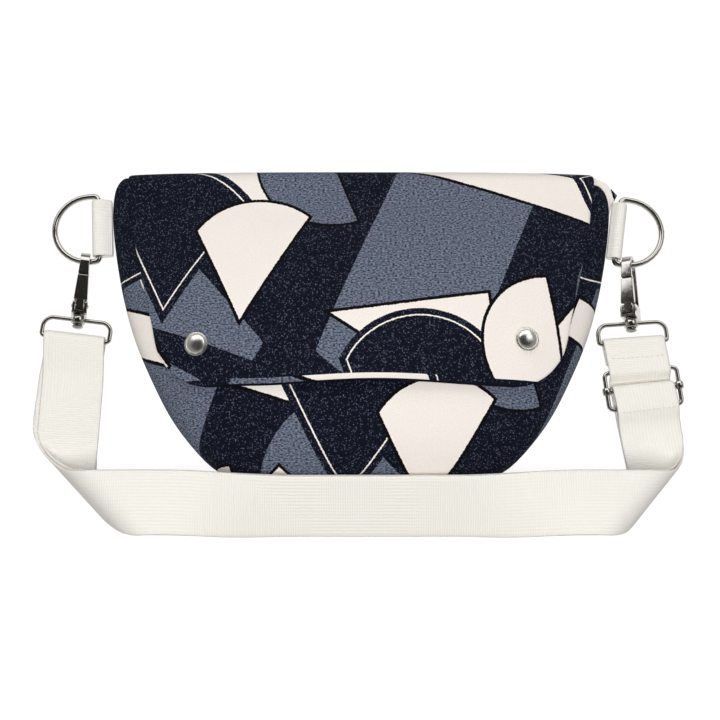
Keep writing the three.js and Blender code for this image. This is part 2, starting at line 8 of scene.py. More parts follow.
# %% Load the frame
import math
import bmesh
import bpy
from mathutils import Matrix, Vector, noise


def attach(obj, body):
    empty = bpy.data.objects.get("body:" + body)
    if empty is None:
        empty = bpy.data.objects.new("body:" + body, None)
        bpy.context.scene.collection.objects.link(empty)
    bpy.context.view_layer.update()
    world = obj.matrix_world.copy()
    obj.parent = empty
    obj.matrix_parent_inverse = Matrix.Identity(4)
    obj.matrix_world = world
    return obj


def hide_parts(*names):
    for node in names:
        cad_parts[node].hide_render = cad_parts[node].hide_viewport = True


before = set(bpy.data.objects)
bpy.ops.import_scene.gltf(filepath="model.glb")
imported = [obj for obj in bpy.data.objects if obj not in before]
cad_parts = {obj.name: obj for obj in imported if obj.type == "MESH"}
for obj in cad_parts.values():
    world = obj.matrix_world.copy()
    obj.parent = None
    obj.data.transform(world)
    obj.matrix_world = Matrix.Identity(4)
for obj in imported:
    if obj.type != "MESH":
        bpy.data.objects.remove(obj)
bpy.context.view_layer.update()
MM = 0.001

# %% [markdown]
# ## Camera, floor and light
#
# The photograph looks down on the bag from its lower side, about 76 degrees above the table, through a lens of
# normal length. The camera goes there first, so that every later picture can be set beside the photograph.
# The ground is pure white and without a shadow, as on a table of opal acrylic that is lit from below, so the floor
# glows. Its glow would also wash out the shade of the folds, so it is kept off the cloth.
# The light is soft: a wide softbox beyond the bag's upper edge, a white card at the right for the metal alone, and a
# scrim above for the cloth alone. Polished metal shows what it mirrors, so the sky of this small studio is dim, and
# darker straight above, as a photographer's own camera and ceiling would be.

# %% Camera
ELEVATION = math.radians(76)
DISTANCE = 700
TARGET = Vector((-0.6, -22, 20))
FOCAL_MM = 58.25
SENSOR_MM = 36
lens = bpy.data.cameras.new("lens")
lens.lens = FOCAL_MM
lens.sensor_width = SENSOR_MM
lens.clip_start = 10 * MM
camera = bpy.data.objects.new("camera", lens)
bpy.context.collection.objects.link(camera)
camera.location = (TARGET + DISTANCE * Vector((0, -math.cos(ELEVATION), math.sin(ELEVATION)))) * MM
camera.rotation_euler = (math.pi / 2 - ELEVATION, 0, 0)
bpy.context.scene.camera = camera
print("camera at", [round(v, 3) for v in camera.location])


# %% Colour and node helpers
def linear(hex_colour):
    """A colour given as an sRGB hex value, in the linear values that shaders use."""
    channels = [int(hex_colour[i : i + 2], 16) / 255 for i in (1, 3, 5)]
    return tuple(c / 12.92 if c <= 0.04045 else ((c + 0.055) / 1.055) ** 2.4 for c in channels) + (1.0,)


def add_node(tree, kind, inputs=None, **settings):
    """A new node with its settings, and with values or links on the inputs that are named."""
    made = tree.nodes.new(kind)
    for key, value in settings.items():
        setattr(made, key, value)
    for key, value in (inputs or {}).items():
        if isinstance(value, bpy.types.NodeSocket):
            tree.links.new(value, made.inputs[key])
        else:
            made.inputs[key].default_value = value
    return made


def new_material(name):
    """A material with an empty node tree."""
    material = bpy.data.materials.new(name)
    material.use_nodes = True
    material.node_tree.nodes.clear()
    return material, material.node_tree


print("mid grey in linear values:", round(linear("#808080")[0], 3))

# %% Floor
FLOOR_HALF_M = 12.0
FLOOR_GLOW = 0.85
acrylic, tree = new_material("opal_light_table")
# White acrylic that is lit from below, as in many shop photographs: it glows, so that nothing throws a hard shadow.
grain = add_node(tree, "ShaderNodeTexNoise", {"Scale": 40.0, "Detail": 2.0}).outputs["Fac"]
tint = add_node(tree, "ShaderNodeMixRGB", {"Fac": grain, "Color1": linear("#868686"), "Color2": linear("#8a8a8a")})
glow = {"Emission Color": linear("#ffffff"), "Emission Strength": FLOOR_GLOW}
glow.update({"Base Color": tint.outputs["Color"], "Roughness": 0.9})
shade = add_node(tree, "ShaderNodeBsdfPrincipled", glow)
add_node(tree, "ShaderNodeOutputMaterial", {"Surface": shade.outputs["BSDF"]})
bm = bmesh.new()
bmesh.ops.create_grid(bm, x_segments=4, y_segments=4, size=FLOOR_HALF_M)
floor_mesh = bpy.data.meshes.new("floor")
bm.to_mesh(floor_mesh)
bm.free()
floor_mesh.materials.append(acrylic)
floor = bpy.data.objects.new("floor", floor_mesh)
bpy.context.collection.objects.link(floor)
# The glow shows in the picture and in the metal, but isn't let onto the cloth, or the folds would lose their shade.
floor.visible_diffuse = False
print("floor:", len(floor_mesh.polygons), "faces")

# %% Studio light
studio = bpy.data.worlds.new("studio")
studio.use_nodes = True
tree = studio.node_tree
tree.nodes.clear()
towards = add_node(tree, "ShaderNodeTexCoord").outputs["Generated"]
overhead = add_node(tree, "ShaderNodeVectorMath", {0: towards, 1: (0.0, 0.05, 1.0)}, operation="DOT_PRODUCT")
patch = {"Value": overhead.outputs["Value"], "From Min": 0.55, "From Max": 0.82, "To Min": 0.26, "To Max": 0.03}
patch = add_node(tree, "ShaderNodeMapRange", patch, interpolation_type="SMOOTHSTEP")
sky = add_node(tree, "ShaderNodeBackground", {"Color": linear("#ffffff"), "Strength": patch.outputs["Result"]})
add_node(tree, "ShaderNodeOutputWorld", {"Surface": sky.outputs["Background"]})
bpy.context.scene.world = studio

MIDDLE = Vector((0, -0.02, 0.02))
# place in metres, width and depth in metres, watts, what it lights
LAMPS = {
    "key_softbox": ((-0.1, 0.95, 0.95), 2.2, 0.8, 8.6, "all"),
    "white_card": ((0.7, 0.3, 0.95), 0.5, 0.5, 1.2, "metal"),
    "overhead_scrim": ((0.0, -0.55, 1.4), 0.9, 0.8, 18.0, "cloth"),
}
for name, (place, wide, deep, watts, lights) in LAMPS.items():
    lamp = bpy.data.lights.new(name, "AREA")
    lamp.shape = "RECTANGLE"
    lamp.size = wide
    lamp.size_y = deep
    lamp.energy = watts
    softbox = bpy.data.objects.new(name, lamp)
    bpy.context.collection.objects.link(softbox)
    softbox.location = place
    softbox.rotation_euler = (MIDDLE - Vector(place)).to_track_quat("-Z", "Y").to_euler()
    softbox.visible_glossy = lights != "cloth"
    softbox.visible_diffuse = lights != "metal"
bpy.context.scene.view_settings.view_transform = "Standard"
print("light: sky and", len(LAMPS), "lamps")

# %% [markdown]
# ## Patterned cloth
#
# The cloth is a jacquard: the pattern isn't printed but woven, from a dark navy warp with white flecks, a
# heathered blue and a warm cream yarn. So each area has its own thread texture, and the edge between two areas
# steps a little with the threads. It could be painted as a picture, but a picture has one size and ends somewhere.
# So a pattern of half discs, quarter discs, wedges and bars is drawn by nodes from a short table, which is in
# millimetres on the flat cloth and repeats without a seam.

# %% Pattern table
REPEAT = (300.0, 240.0)
# centre x, y, radius, cuts as (angle in degrees, offset), yarn, dark outline in mm, thin line's place in mm
MOTIFS = [
    (66, 56, 84, [(62, 8)], "blue", 0.0, 0.0),
    (203, 163, 112, [(158, 44), (338, 42)], "blue", 0.0, 0.0),
    (272, 36, 78, [(24, 8), (118, 15)], "blue", 0.0, -5.0),
    (40, 118, 60, [(250, 20), (40, 22)], "blue", 0.0, 0.0),
    (132, 107, 94, [(98, 0), (236, 0)], "cream", 2.0, 0.0),
    (79, 180, 52, [(296, 5)], "cream", 2.0, 0.0),
    (249, 198, 84, [(72, 14), (252, 11)], "cream", 2.0, 0.0),
    (185, 58, 52, [(200, 38)], "navy", 0.0, -4.2),
    (23, 142, 74, [(206, 10), (326, 28)], "navy", 0.0, -4.6),
    (132, 213, 46, [(20, 0), (110, 25)], "blue", 1.6, 0.0),
    (295, 122, 58, [(40, 3), (140, 8)], "cream", 2.0, 0.0),
    (109, 25, 38, [(160, 0)], "cream", 2.0, 0.0),
    (88, 140, 44, [(330, 10), (205, 24)], "cream", 2.0, 0.0),
    (262, 92, 40, [(10, 6)], "cream", 2.0, 0.0),
]
print("pattern:", len(MOTIFS), "motifs on a repeat of", REPEAT, "mm")

# %% [markdown]
# ## Yarns
#
# Three yarns are woven up to the face. The navy ground has a few pale flecks, where a white thread comes up. The
# blue is heathered, which means spun from light and dark fibres, so it is streaked along the weft. The cream has
# the small even grains of a crepe weave, and the same grains give the whole cloth its relief. A real thread is
# about half a millimetre, so all three are drawn a little coarser, to show in a picture of this size.

# %% Yarns
FLECK_MM = 0.85
FLECK_REACH = 0.42
HEATHER_MM = 1.1
CREPE_MM = 0.9


def yarn_colours(tree, placed):
    """The colour of each yarn at a place on the cloth, and the height of the crepe's grains there."""
    # Navy with a few pale flecks where a white thread comes up
    flecks = add_node(tree, "ShaderNodeTexVoronoi", {"Vector": placed, "Scale": 1 / FLECK_MM}, feature="F1")
    chosen = add_node(tree, "ShaderNodeSeparateColor", {"Color": flecks.outputs["Color"]}).outputs["Red"]
    few = {"Value": chosen, "From Min": 0.55, "From Max": 1.0, "To Min": 0.0, "To Max": 0.65}
    few = add_node(tree, "ShaderNodeMapRange", few).outputs["Result"]
    small = {0: flecks.outputs["Distance"], 1: FLECK_REACH}
    small = add_node(tree, "ShaderNodeMath", small, operation="LESS_THAN").outputs[0]
    fleck = add_node(tree, "ShaderNodeMath", {0: few, 1: small}, operation="MULTIPLY").outputs[0]
    navy = {"Fac": fleck, "Color1": linear("#0f121f"), "Color2": linear("#747a8e")}
    # Blue streaked along the weft
    streaks = add_node(tree, "ShaderNodeMapping", {"Vector": placed, "Scale": (0.75, 1.25, 1.0)}).outputs["Vector"]
    heather = add_node(tree, "ShaderNodeTexNoise", {"Vector": streaks, "Scale": 1 / HEATHER_MM, "Detail": 3.0})
    spread = {"Value": heather.outputs["Fac"], "From Min": 0.36, "From Max": 0.66}
    spread = add_node(tree, "ShaderNodeMapRange", spread).outputs["Result"]
    blue = {"Fac": spread, "Color1": linear("#262d3c"), "Color2": linear("#828a9c")}
    # Cream with the small grains of a crepe weave
    crepe = add_node(tree, "ShaderNodeTexNoise", {"Vector": placed, "Scale": 1 / CREPE_MM, "Detail": 3.0})
    crepe = crepe.outputs["Fac"]
    cream = {"Fac": crepe, "Color1": linear("#e6dcd2"), "Color2": linear("#fbf5ef")}
    yarns = {"navy": navy, "blue": blue, "cream": cream}
    yarns = {kind: add_node(tree, "ShaderNodeMixRGB", mix).outputs["Color"] for kind, mix in yarns.items()}
    return yarns, crepe


print("yarns: grains of", FLECK_MM, HEATHER_MM, "and", CREPE_MM, "mm")

# %% [markdown]
# ## Motifs
#
# A row of the table holds a motif's centre, its radius and up to two straight cuts. How far a point is outside the
# motif is the largest of its distances to the disc and to the cuts, and is below zero inside. This one number draws
# the whole motif: its filling, a dark outline round it, and a thin line at an even distance inside it.


# %% Distance to a motif
def motif_distance(tree, drawn, x, y, radius, cuts):
    """How far each place is outside a motif, in millimetres. The motif is repeated over the cloth."""
    wide, high = REPEAT
    shift = (0.5 - x / wide, 0.5 - y / high, 0.0)
    local = {0: drawn, 1: (1 / wide, 1 / high, 0.0), 2: shift}
    local = add_node(tree, "ShaderNodeVectorMath", local, operation="MULTIPLY_ADD").outputs["Vector"]
    local = add_node(tree, "ShaderNodeVectorMath", {0: local}, operation="FRACTION").outputs["Vector"]
    local = {0: local, 1: (wide, high, 0.0), 2: (-wide / 2, -high / 2, 0.0)}
    local = add_node(tree, "ShaderNodeVectorMath", local, operation="MULTIPLY_ADD").outputs["Vector"]
    away = add_node(tree, "ShaderNodeVectorMath", {0: local}, operation="LENGTH").outputs["Value"]
    outside = add_node(tree, "ShaderNodeMath", {0: away, 1: radius}, operation="SUBTRACT").outputs[0]
    for angle, offset in cuts:
        normal = (math.cos(math.radians(angle)), math.sin(math.radians(angle)), 0.0)
        along = add_node(tree, "ShaderNodeVectorMath", {0: local, 1: normal}, operation="DOT_PRODUCT")
        past = {0: along.outputs["Value"], 1: offset}
        past = add_node(tree, "ShaderNodeMath", past, operation="SUBTRACT").outputs[0]
        outside = add_node(tree, "ShaderNodeMath", {0: outside, 1: past}, operation="MAXIMUM").outputs[0]
    return outside


print("cuts in the pattern:", sum(len(motif[3]) for motif in MOTIFS))

# %% Jacquard cloth
INK = "#100c0f"
EDGE_STEP_MM = 0.45
LINE_HALF_MM = 0.45


def jacquard(name, origin):
    """Woven patterned cloth. origin is the place of the cloth's own zero on the pattern, in millimetres."""
    material, tree = new_material(name)
    cloth = add_node(tree, "ShaderNodeUVMap", uv_map="cloth_mm").outputs["UV"]
    placed = add_node(tree, "ShaderNodeVectorMath", {0: cloth, 1: (*origin, 0.0)}, operation="ADD").outputs["Vector"]
    yarns, crepe = yarn_colours(tree, placed)
    # Edges step with the threads: each place reads the pattern up to this far away.
    step = add_node(tree, "ShaderNodeTexNoise", {"Vector": placed, "Scale": 0.9, "Detail": 1.0}).outputs["Color"]
    both_ways, back = (2 * EDGE_STEP_MM, 2 * EDGE_STEP_MM, 0.0), (-EDGE_STEP_MM, -EDGE_STEP_MM, 0.0)
    drift = {0: step, 1: both_ways, 2: back}
    drift = add_node(tree, "ShaderNodeVectorMath", drift, operation="MULTIPLY_ADD").outputs["Vector"]
    drawn = add_node(tree, "ShaderNodeVectorMath", {0: placed, 1: drift}, operation="ADD").outputs["Vector"]
    colour = yarns["navy"]
    for *motif, yarn, outline, line in MOTIFS:
        outside = motif_distance(tree, drawn, *motif)
        if outline:
            rim = add_node(tree, "ShaderNodeMath", {0: outside, 1: outline}, operation="LESS_THAN").outputs[0]
            rim = {"Fac": rim, "Color1": colour, "Color2": linear(INK)}
            colour = add_node(tree, "ShaderNodeMixRGB", rim).outputs["Color"]
        inside = add_node(tree, "ShaderNodeMath", {0: outside, 1: 0.0}, operation="LESS_THAN").outputs[0]
        inside = {"Fac": inside, "Color1": colour, "Color2": yarns[yarn]}
        colour = add_node(tree, "ShaderNodeMixRGB", inside).outputs["Color"]
        if line:
            thin = {0: outside, 1: line, 2: LINE_HALF_MM}
            thin = add_node(tree, "ShaderNodeMath", thin, operation="COMPARE").outputs[0]
            thin = {"Fac": thin, "Color1": colour, "Color2": yarns["cream"]}
            colour = add_node(tree, "ShaderNodeMixRGB", thin).outputs["Color"]
    bump = {"Height": crepe, "Strength": 0.55, "Distance": 0.0004}
    bump = add_node(tree, "ShaderNodeBump", bump).outputs["Normal"]
    shade = {"Base Color": colour, "Roughness": 0.9, "Normal": bump, "Specular IOR Level": 0.12}
    shade = add_node(tree, "ShaderNodeBsdfPrincipled", shade)
    add_node(tree, "ShaderNodeOutputMaterial", {"Surface": shade.outputs["BSDF"]})
    return material


front_cloth = jacquard("navy_jacquard_front", (40.0, 110.0))
flap_cloth = jacquard("navy_jacquard_flap", (150.0, 66.0))
back_cloth = jacquard("navy_jacquard_back", (225.0, 111.0))
print("cloths:", ", ".join(made.name for made in (front_cloth, flap_cloth, back_cloth)))

# %% [markdown]
# ## Painted shadow under the hem
#
# The flap is lined, but the dark line under its turned edge is painted shadow: the lowest strip of the hem gets a
# nearly black cloth.
# It could share the cloth's own material, but then the pattern would run on over the edge. A plain dark material keeps
# the painted shadow crisp.

# %% Painted hem shadow
hem_shadow_cloth, tree = new_material("painted_hem_shadow")
# A painted shadow line: nearly black and quite matt, with the same fine grain as the cloth.
cloth = add_node(tree, "ShaderNodeUVMap", uv_map="cloth_mm").outputs["UV"]
weave = add_node(tree, "ShaderNodeTexNoise", {"Vector": cloth, "Scale": 1 / CREPE_MM, "Detail": 2.0}).outputs["Fac"]
weave = add_node(tree, "ShaderNodeMixRGB", {"Fac": weave, "Color1": linear("#090a10"), "Color2": linear("#151722")})
shade = {"Base Color": weave.outputs["Color"], "Roughness": 0.95, "Specular IOR Level": 0.1}
shade = add_node(tree, "ShaderNodeBsdfPrincipled", shade)
add_node(tree, "ShaderNodeOutputMaterial", {"Surface": shade.outputs["BSDF"]})
print("lining ready")

# %% [markdown]
# ## Webbing
#
# The strap is ivory polyester webbing. Its weft makes fine ribs across it and its warp makes broader ones along it.
# On a real strap now the one and now the other shows, as it was pulled and folded, so a slow noise picks between
# them. Both are drawn a little coarser than real ribs, so that they still show in a picture of this size. They
# could be modelled, but at this size relief in the material gives the same look with far fewer faces.

# %% Ivory webbing
RIB_ACROSS_MM = 1.4
RIB_ALONG_MM = 2.0
CHANGE_MM = 45.0
UNEVEN_MM = 3.0
webbing, tree = new_material("ivory_webbing")
# Woven polyester: matt and softly ribbed, with painted shade between the ribs, which are never quite even.
flat = add_node(tree, "ShaderNodeUVMap", uv_map="cloth_mm").outputs["UV"]
uneven = {"Vector": flat, "Scale": 1 / UNEVEN_MM, "Detail": 2.0}
uneven = add_node(tree, "ShaderNodeTexNoise", uneven).outputs["Color"]
threads = {0: uneven, 1: (1.2, 0.8, 0.0), 2: flat}
threads = add_node(tree, "ShaderNodeVectorMath", threads, operation="MULTIPLY_ADD").outputs["Vector"]
threads = add_node(tree, "ShaderNodeSeparateXYZ", {"Vector": threads}).outputs
ribs = []
for way, pitch in (("Y", RIB_ACROSS_MM), ("X", RIB_ALONG_MM)):
    wave = {0: threads[way], 1: 2 * math.pi / pitch}
    wave = add_node(tree, "ShaderNodeMath", wave, operation="MULTIPLY").outputs[0]
    ribs.append(add_node(tree, "ShaderNodeMath", {0: wave}, operation="SINE").outputs[0])
pulled = add_node(tree, "ShaderNodeTexNoise", {"Vector": flat, "Scale": 1 / CHANGE_MM, "Detail": 0.0}).outputs["Fac"]
pulled = {"Value": pulled, "From Min": 0.4, "From Max": 0.62, "To Min": 0.08, "To Max": 0.8}
pulled = add_node(tree, "ShaderNodeMapRange", pulled).outputs["Result"]
height = add_node(tree, "ShaderNodeMixRGB", {"Fac": pulled, "Color1": ribs[0], "Color2": ribs[1]}).outputs["Color"]
height = add_node(tree, "ShaderNodeMapRange", {"Value": height, "From Min": -1.0, "From Max": 1.0}).outputs["Result"]
# Painted shade: the colour is darker where the ribs are low.
tone = {"Fac": height, "Color1": linear("#ebe7de"), "Color2": linear("#f3f0e9")}
tone = add_node(tree, "ShaderNodeMixRGB", tone).outputs["Color"]
bump = add_node(tree, "ShaderNodeBump", {"Height": height, "Strength": 0.5, "Distance": 0.0003}).outputs["Normal"]
shade = {"Base Color": tone, "Roughness": 0.8, "Normal": bump, "Sheen Weight": 0.1}
shade = add_node(tree, "ShaderNodeBsdfPrincipled", shade)
add_node(tree, "ShaderNodeOutputMaterial", {"Surface": shade.outputs["BSDF"]})
print("webbing ribs:", RIB_ACROSS_MM, "mm across,", RIB_ALONG_MM, "mm along")

# %% [markdown]
# ## Nickel
#
# The fittings are steel wire and strip with a bright nickel plating: smooth, and a little warmer than chrome. A
# perfect mirror would look like a drawing of metal, so its roughness wanders a little, as plating does that has
# been handled. The caps of the snaps get a copy of their own: softer, as a satin plating, and paler, which paints in
# the brighter light that they catch.

# %% Nickel plating
HAZE_MM = 3.0


def nickel_plating(name, colour, clear, hazy):
    """Plated steel: a mirror with the haze of handling, between a clear and a hazy roughness."""
    material, tree = new_material(name)
    spot = add_node(tree, "ShaderNodeTexCoord").outputs["Object"]
    haze = {"Vector": spot, "Scale": 1 / (HAZE_MM * MM), "Detail": 3.0}
    haze = add_node(tree, "ShaderNodeTexNoise", haze).outputs["Fac"]
    haze = {"Value": haze, "From Min": 0.35, "From Max": 0.75, "To Min": clear, "To Max": hazy}
    haze = add_node(tree, "ShaderNodeMapRange", haze).outputs["Result"]
    shade = {"Base Color": linear(colour), "Metallic": 1.0, "Roughness": haze}
    shade = add_node(tree, "ShaderNodeBsdfPrincipled", shade)
    add_node(tree, "ShaderNodeOutputMaterial", {"Surface": shade.outputs["BSDF"]})
    return material


nickel = nickel_plating("polished_nickel_plating", "#c6c3bd", 0.07, 0.17)
# Paler than the rest: painted light, so that the caps look brighter.
cap_nickel_brightened = nickel_plating("satin_nickel_brightened", "#f0ede6", 0.24, 0.34)
print("platings:", nickel.name, "and", cap_nickel_brightened.name)

# %% [markdown]
# ## Sheets of cloth
#
# Every soft piece of this bag starts as a flat grid, as cloth starts as a flat cut. A function then says where
# each point of the grid goes. The lengths between neighbouring points are added up into a map of the flat cloth
# in millimetres, so a pattern keeps its size where the cloth curves. A Solidify modifier gives the sheet its
# thickness, and a Subdivision Surface modifier rounds its edges. A cloth simulation could drape it as well, but these
# panels are sewn and stuffed into their shape, so setting the shape directly is surer.


# %% Draping a sheet
def draped(columns, rows, place, begin=0.0):
    """A grid bent into a sheet. place(i, j) gives the point of column i and row j, in millimetres. begin is where
    the sheet starts on the roll that it was cut from."""
    bm = bmesh.new()
    bmesh.ops.create_grid(bm, x_segments=columns, y_segments=rows, size=1.0)
    grid = {}
    for vert in bm.verts:
        grid[round((vert.co.x + 1) / 2 * columns), round((vert.co.y + 1) / 2 * rows)] = vert
    for (i, j), vert in grid.items():
        vert.co = place(i, j)
    flat = {}
    middle = columns // 2
    along = begin
    for j in range(rows + 1):
        if j:
            along += (grid[middle, j].co - grid[middle, j - 1].co).length
        flat[grid[middle, j]] = (0.0, along)
        for way in (1, -1):
            across = 0.0
            for i in range(middle, columns if way > 0 else 0, way):
                across += way * (grid[i + way, j].co - grid[i, j].co).length
                flat[grid[i + way, j]] = (across, along)
    layer = bm.loops.layers.uv.new("cloth_mm")
    for face in bm.faces:
        for loop in face.loops:
            loop[layer].uv = flat[loop.vert]
    return bm


def thicken(piece, thickness, offset):
    """Cloth thickness in millimetres. The offset is -1 where the grid is the outer face, and 0 at mid thickness."""
    wall = piece.modifiers.new("cloth", "SOLIDIFY")
    wall.thickness = thickness * MM
    wall.offset = offset
    soft = piece.modifiers.new("soft_edge", "SUBSURF")
    soft.levels = 1
    soft.render_levels = 1


print("sheets: a grid, a flat map in millimetres and a thickness")


# %% Keeping a piece
def keep(bm, name, material, node, body, crease=math.pi):
    """Makes a finished object of a bmesh in millimetres. It takes its solid's place and rides on its body. Edges that
    are sharper than crease stay sharp."""
    bmesh.ops.scale(bm, vec=(MM, MM, MM), verts=bm.verts)
    mesh = bpy.data.meshes.new(name)
    bm.to_mesh(mesh)
    bm.free()
    for polygon in mesh.polygons:
        polygon.use_smooth = True
    if crease < math.pi:
        mesh.set_sharp_from_angle(angle=crease)
    mesh.materials.append(material)
    piece = bpy.data.objects.new(name, mesh)
    bpy.context.collection.objects.link(piece)
    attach(piece, body)
    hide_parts(node)
    print(name + ":", len(mesh.polygons), "faces")
    return piece


print("pieces are kept in metres, 1 mm =", MM)

# %% [markdown]
# ## Body
#
# The pouch is two panels sewn together round their edge. The back is flat, because the bag lies on it. The front
# is full: each level up the bag has a width and a height, and its section is a flattened arch between them. It could
# be sculpted by hand, but a table of levels is easy to set beside the photograph and to correct.

# %% Body sizes
BODY = [
    # y, half of the width, height of the front
    (-96.6, 52.0, 2.6),
    (-95.5, 58.0, 5.0),
    (-93.5, 71.0, 11.0),
    (-91.0, 78.0, 15.5),
    (-86.0, 87.8, 21.0),
    (-75.0, 99.6, 28.0),
    (-58.0, 113.2, 34.0),
    (-38.0, 124.7, 37.5),
    (-8.0, 138.6, 38.0),
    (20.0, 147.5, 35.0),
    (50.0, 154.0, 29.0),
    (75.0, 157.5, 22.5),
    (86.0, 157.3, 20.2),
    (92.0, 156.0, 18.0),
    (97.0, 152.0, 15.0),
]
FULLNESS = 2.6
FOOT = 2.35
MOUTH_Y = 97.0
PANEL_THICK = 2.0
print("pouch:", 2 * max(row[1] for row in BODY), "mm wide,", max(row[2] for row in BODY), "mm high")


# %% Body surface
def smooth(t):
    """0 to 1 with soft ends."""
    t = min(max(t, 0.0), 1.0)
    return t * t * (3 - 2 * t)


def read(table, y, column):
    """A column of a table at a level between its rows, on a smooth curve."""
    last = len(table) - 1
    i = 0
    while i < last - 1 and y > table[i + 1][0]:
        i += 1

    def slope(k):
        low, high = table[max(k - 1, 0)], table[min(k + 1, last)]
        return (high[column] - low[column]) / (high[0] - low[0])

    low, high = table[i], table[i + 1]
    span = high[0] - low[0]
    t = min(max((y - low[0]) / span, 0.0), 1.0)
    return (
        (2 * t**3 - 3 * t**2 + 1) * low[column]
        + (t**3 - 2 * t**2 + t) * span * slope(i)
        + (3 * t**2 - 2 * t**3) * high[column]
        + (t**3 - t**2) * span * slope(i + 1)
    )


def front_height(x, y):
    """Height of the front's outer face above the floor."""
    level = min(y, MOUTH_Y)
    share = min(abs(x) / read(BODY, level, 1), 1.0)
    return FOOT + (read(BODY, level, 2) - FOOT) * (1 - share**FULLNESS) ** (1 / FULLNESS)


def front_normal(x, y):
    """The way the front's outer face looks, from its slope over a millimetre."""
    e = 0.5
    dx = (front_height(x + e, y) - front_height(x - e, y)) / (2 * e)
    dy = (front_height(x, y + e) - front_height(x, y - e)) / (2 * e)
    return Vector((-dx, -dy, 1)).normalized()


def ripple(x, y, size, seed):
    """A slow wave from -1 to 1 that is the same each time."""
    return noise.noise(Vector((x / size, y / size, seed)))


print("front, at its middle:", round(front_height(0, 0), 1), "mm high")

# %% [markdown]
# ## Front panel
#
# A stuffed cloth panel is never as even as a moulding. So the front gets slow waves where it is free, and small
# puckers along its sewn edge, where the thread gathers it. Its left upper corner is raised, because it is rounder than
# the right one.

# %% Front panel
FRONT_COLUMNS = 72
FRONT_ROWS = 64
WAVE_MM, WAVE_HIGH, WAVE_SINK = 55, 1.3, 0.5
PUCKER_PITCH, PUCKER_HIGH = 3.1, 0.35
CORNER_LIFT = 5.0


def front_point(i, j):
    """A point of the front: up the bag by row, and over the arch from left to right by column."""
    t = j / FRONT_ROWS
    y = BODY[0][0] + (MOUTH_Y - BODY[0][0]) * (0.35 * t + 0.65 * t**1.8)
    a = math.pi * (1 - i / FRONT_COLUMNS)
    c, s = math.cos(a), max(math.sin(a), 0.0)
    x = read(BODY, y, 1) * math.copysign(abs(c) ** (2 / FULLNESS), c)
    z = FOOT + (read(BODY, y, 2) - FOOT) * s ** (2 / FULLNESS)
    free = s * smooth((y + 96) / 20) * smooth((MOUTH_Y - y) / 20)
    by_seam = (1 - smooth((s - 0.1) / 0.5)) * smooth(s / 0.12)
    pucker = PUCKER_HIGH * math.sin(y / PUCKER_PITCH + 2 * ripple(x, y, 30, seed=4.0)) * by_seam
    z += free * (WAVE_HIGH * ripple(x, y, WAVE_MM, seed=1.0) - WAVE_SINK) + pucker
    corner = CORNER_LIFT * smooth((-136 - x) / 14) * smooth((y - 70) / 26)
    return Vector((x, y + corner, z))


front_cut = draped(FRONT_COLUMNS, FRONT_ROWS, front_point)
front = keep(front_cut, "front_shell", front_cloth, "front_panel", "bag")
thicken(front, PANEL_THICK, -1)

# %% [markdown]
# ## Back panel
#
# The back is flat, so it is an outline that is filled, extruded to its thickness and rounded at its rims. The outline
# is read from the same table as the front, so the two meet in the seam. A small corner of it stands out at the upper
# right.

# %% Back panel
BACK_LOW_Y = -95.5
BACK_TOP_Y = 88.0
BACK_STEPS = 26
BACK_ROUND = 0.7
CORNER = [(160.0, 84.0), (164.0, 91.0), (157.0, 99.5), (148.2, 104.0), (148.2, BACK_TOP_Y)]
bm = bmesh.new()
outline = []
for k in range(BACK_STEPS + 1):
    y = BACK_LOW_Y + (BACK_TOP_Y - BACK_LOW_Y) * (k / BACK_STEPS) ** 1.7
    outline.append((read(BODY, y, 1), y))
right = outline[:-1] + CORNER
left = [(-x, y) for x, y in reversed(outline)]
face = bm.faces.new([bm.verts.new((x, y, 0.0)) for x, y in right + left])
layer = bm.loops.layers.uv.new("cloth_mm")
for loop in face.loops:
    loop[layer].uv = (loop.vert.co.x, loop.vert.co.y)
up = bmesh.ops.extrude_face_region(bm, geom=[face])["geom"]
bmesh.ops.translate(bm, vec=(0, 0, PANEL_THICK), verts=[v for v in up if isinstance(v, bmesh.types.BMVert)])
bmesh.ops.recalc_face_normals(bm, faces=bm.faces)
level = [e for e in bm.edges if abs(e.verts[0].co.z - e.verts[1].co.z) < 0.1]
rims = [e for e in level if e.calc_face_angle() > 1.0]
bmesh.ops.bevel(bm, geom=rims, offset=BACK_ROUND, affect="EDGES", segments=3, profile=0.5, material=-1)
keep(bm, "back_sheet", back_cloth, "back_panel", "bag", math.radians(40))

# %% [markdown]
# ## Flap
#
# The flap is sewn to the top of the back, goes round the mouth in one soft fold and lies on the front, a little
# off it. It is lined, so it is thicker than the panels. Its lower edge is a turned hem that rolls over towards the
# front, lifts in the middle, where nothing holds it, and is drawn down by the snaps. It is one sheet from its hem to
# its seam, because a flap that was made of two would show a join at the fold.

# %% Flap sizes
FLAP = [
    # y, half of the width
    (-40.5, 88.0),
    (-39.8, 96.0),
    (-36.5, 104.0),
    (-30.0, 112.0),
    (-19.0, 119.5),
    (0.0, 124.5),
    (28.0, 132.0),
    (55.0, 139.0),
    (80.0, 143.5),
    (101.0, 147.0),
]
FLAP_THICK = 2.6
FLAP_OFF = 2.2 + FLAP_THICK / 2
FOLD_Y = 101.5
EDGE_Y = FLAP[0][0]
EDGE_RISE = 2.2
EDGE_LIFT = 2.6
# The turned hem: how far up the flap it starts to roll over, how far its edge comes down, and how much of the sheet
# shows the hem's own side and the painted shadow line below it
HEM_LENGTH = 5.0
HEM_DROP = 2.5
HEM_SEEN = 4.6
HEM_SHADOW_SEEN = 2.2
HEM_SHIFT = Vector((96.0, 128.0))
# Where the snaps are, how far each holds the cloth still, and the dent round it: its distance, width and depth
SNAPS = {"left": (-95.8, -16.2), "right": (96.7, -13.4)}
SNAP_HOLD = 26
DENT_AT, DENT_WIDE, DENT_DEEP = 15, 7, 0.45
print("flap:", 2 * FLAP[-1][1], "mm wide at its fold,", FOLD_Y - EDGE_Y, "mm long on the front")

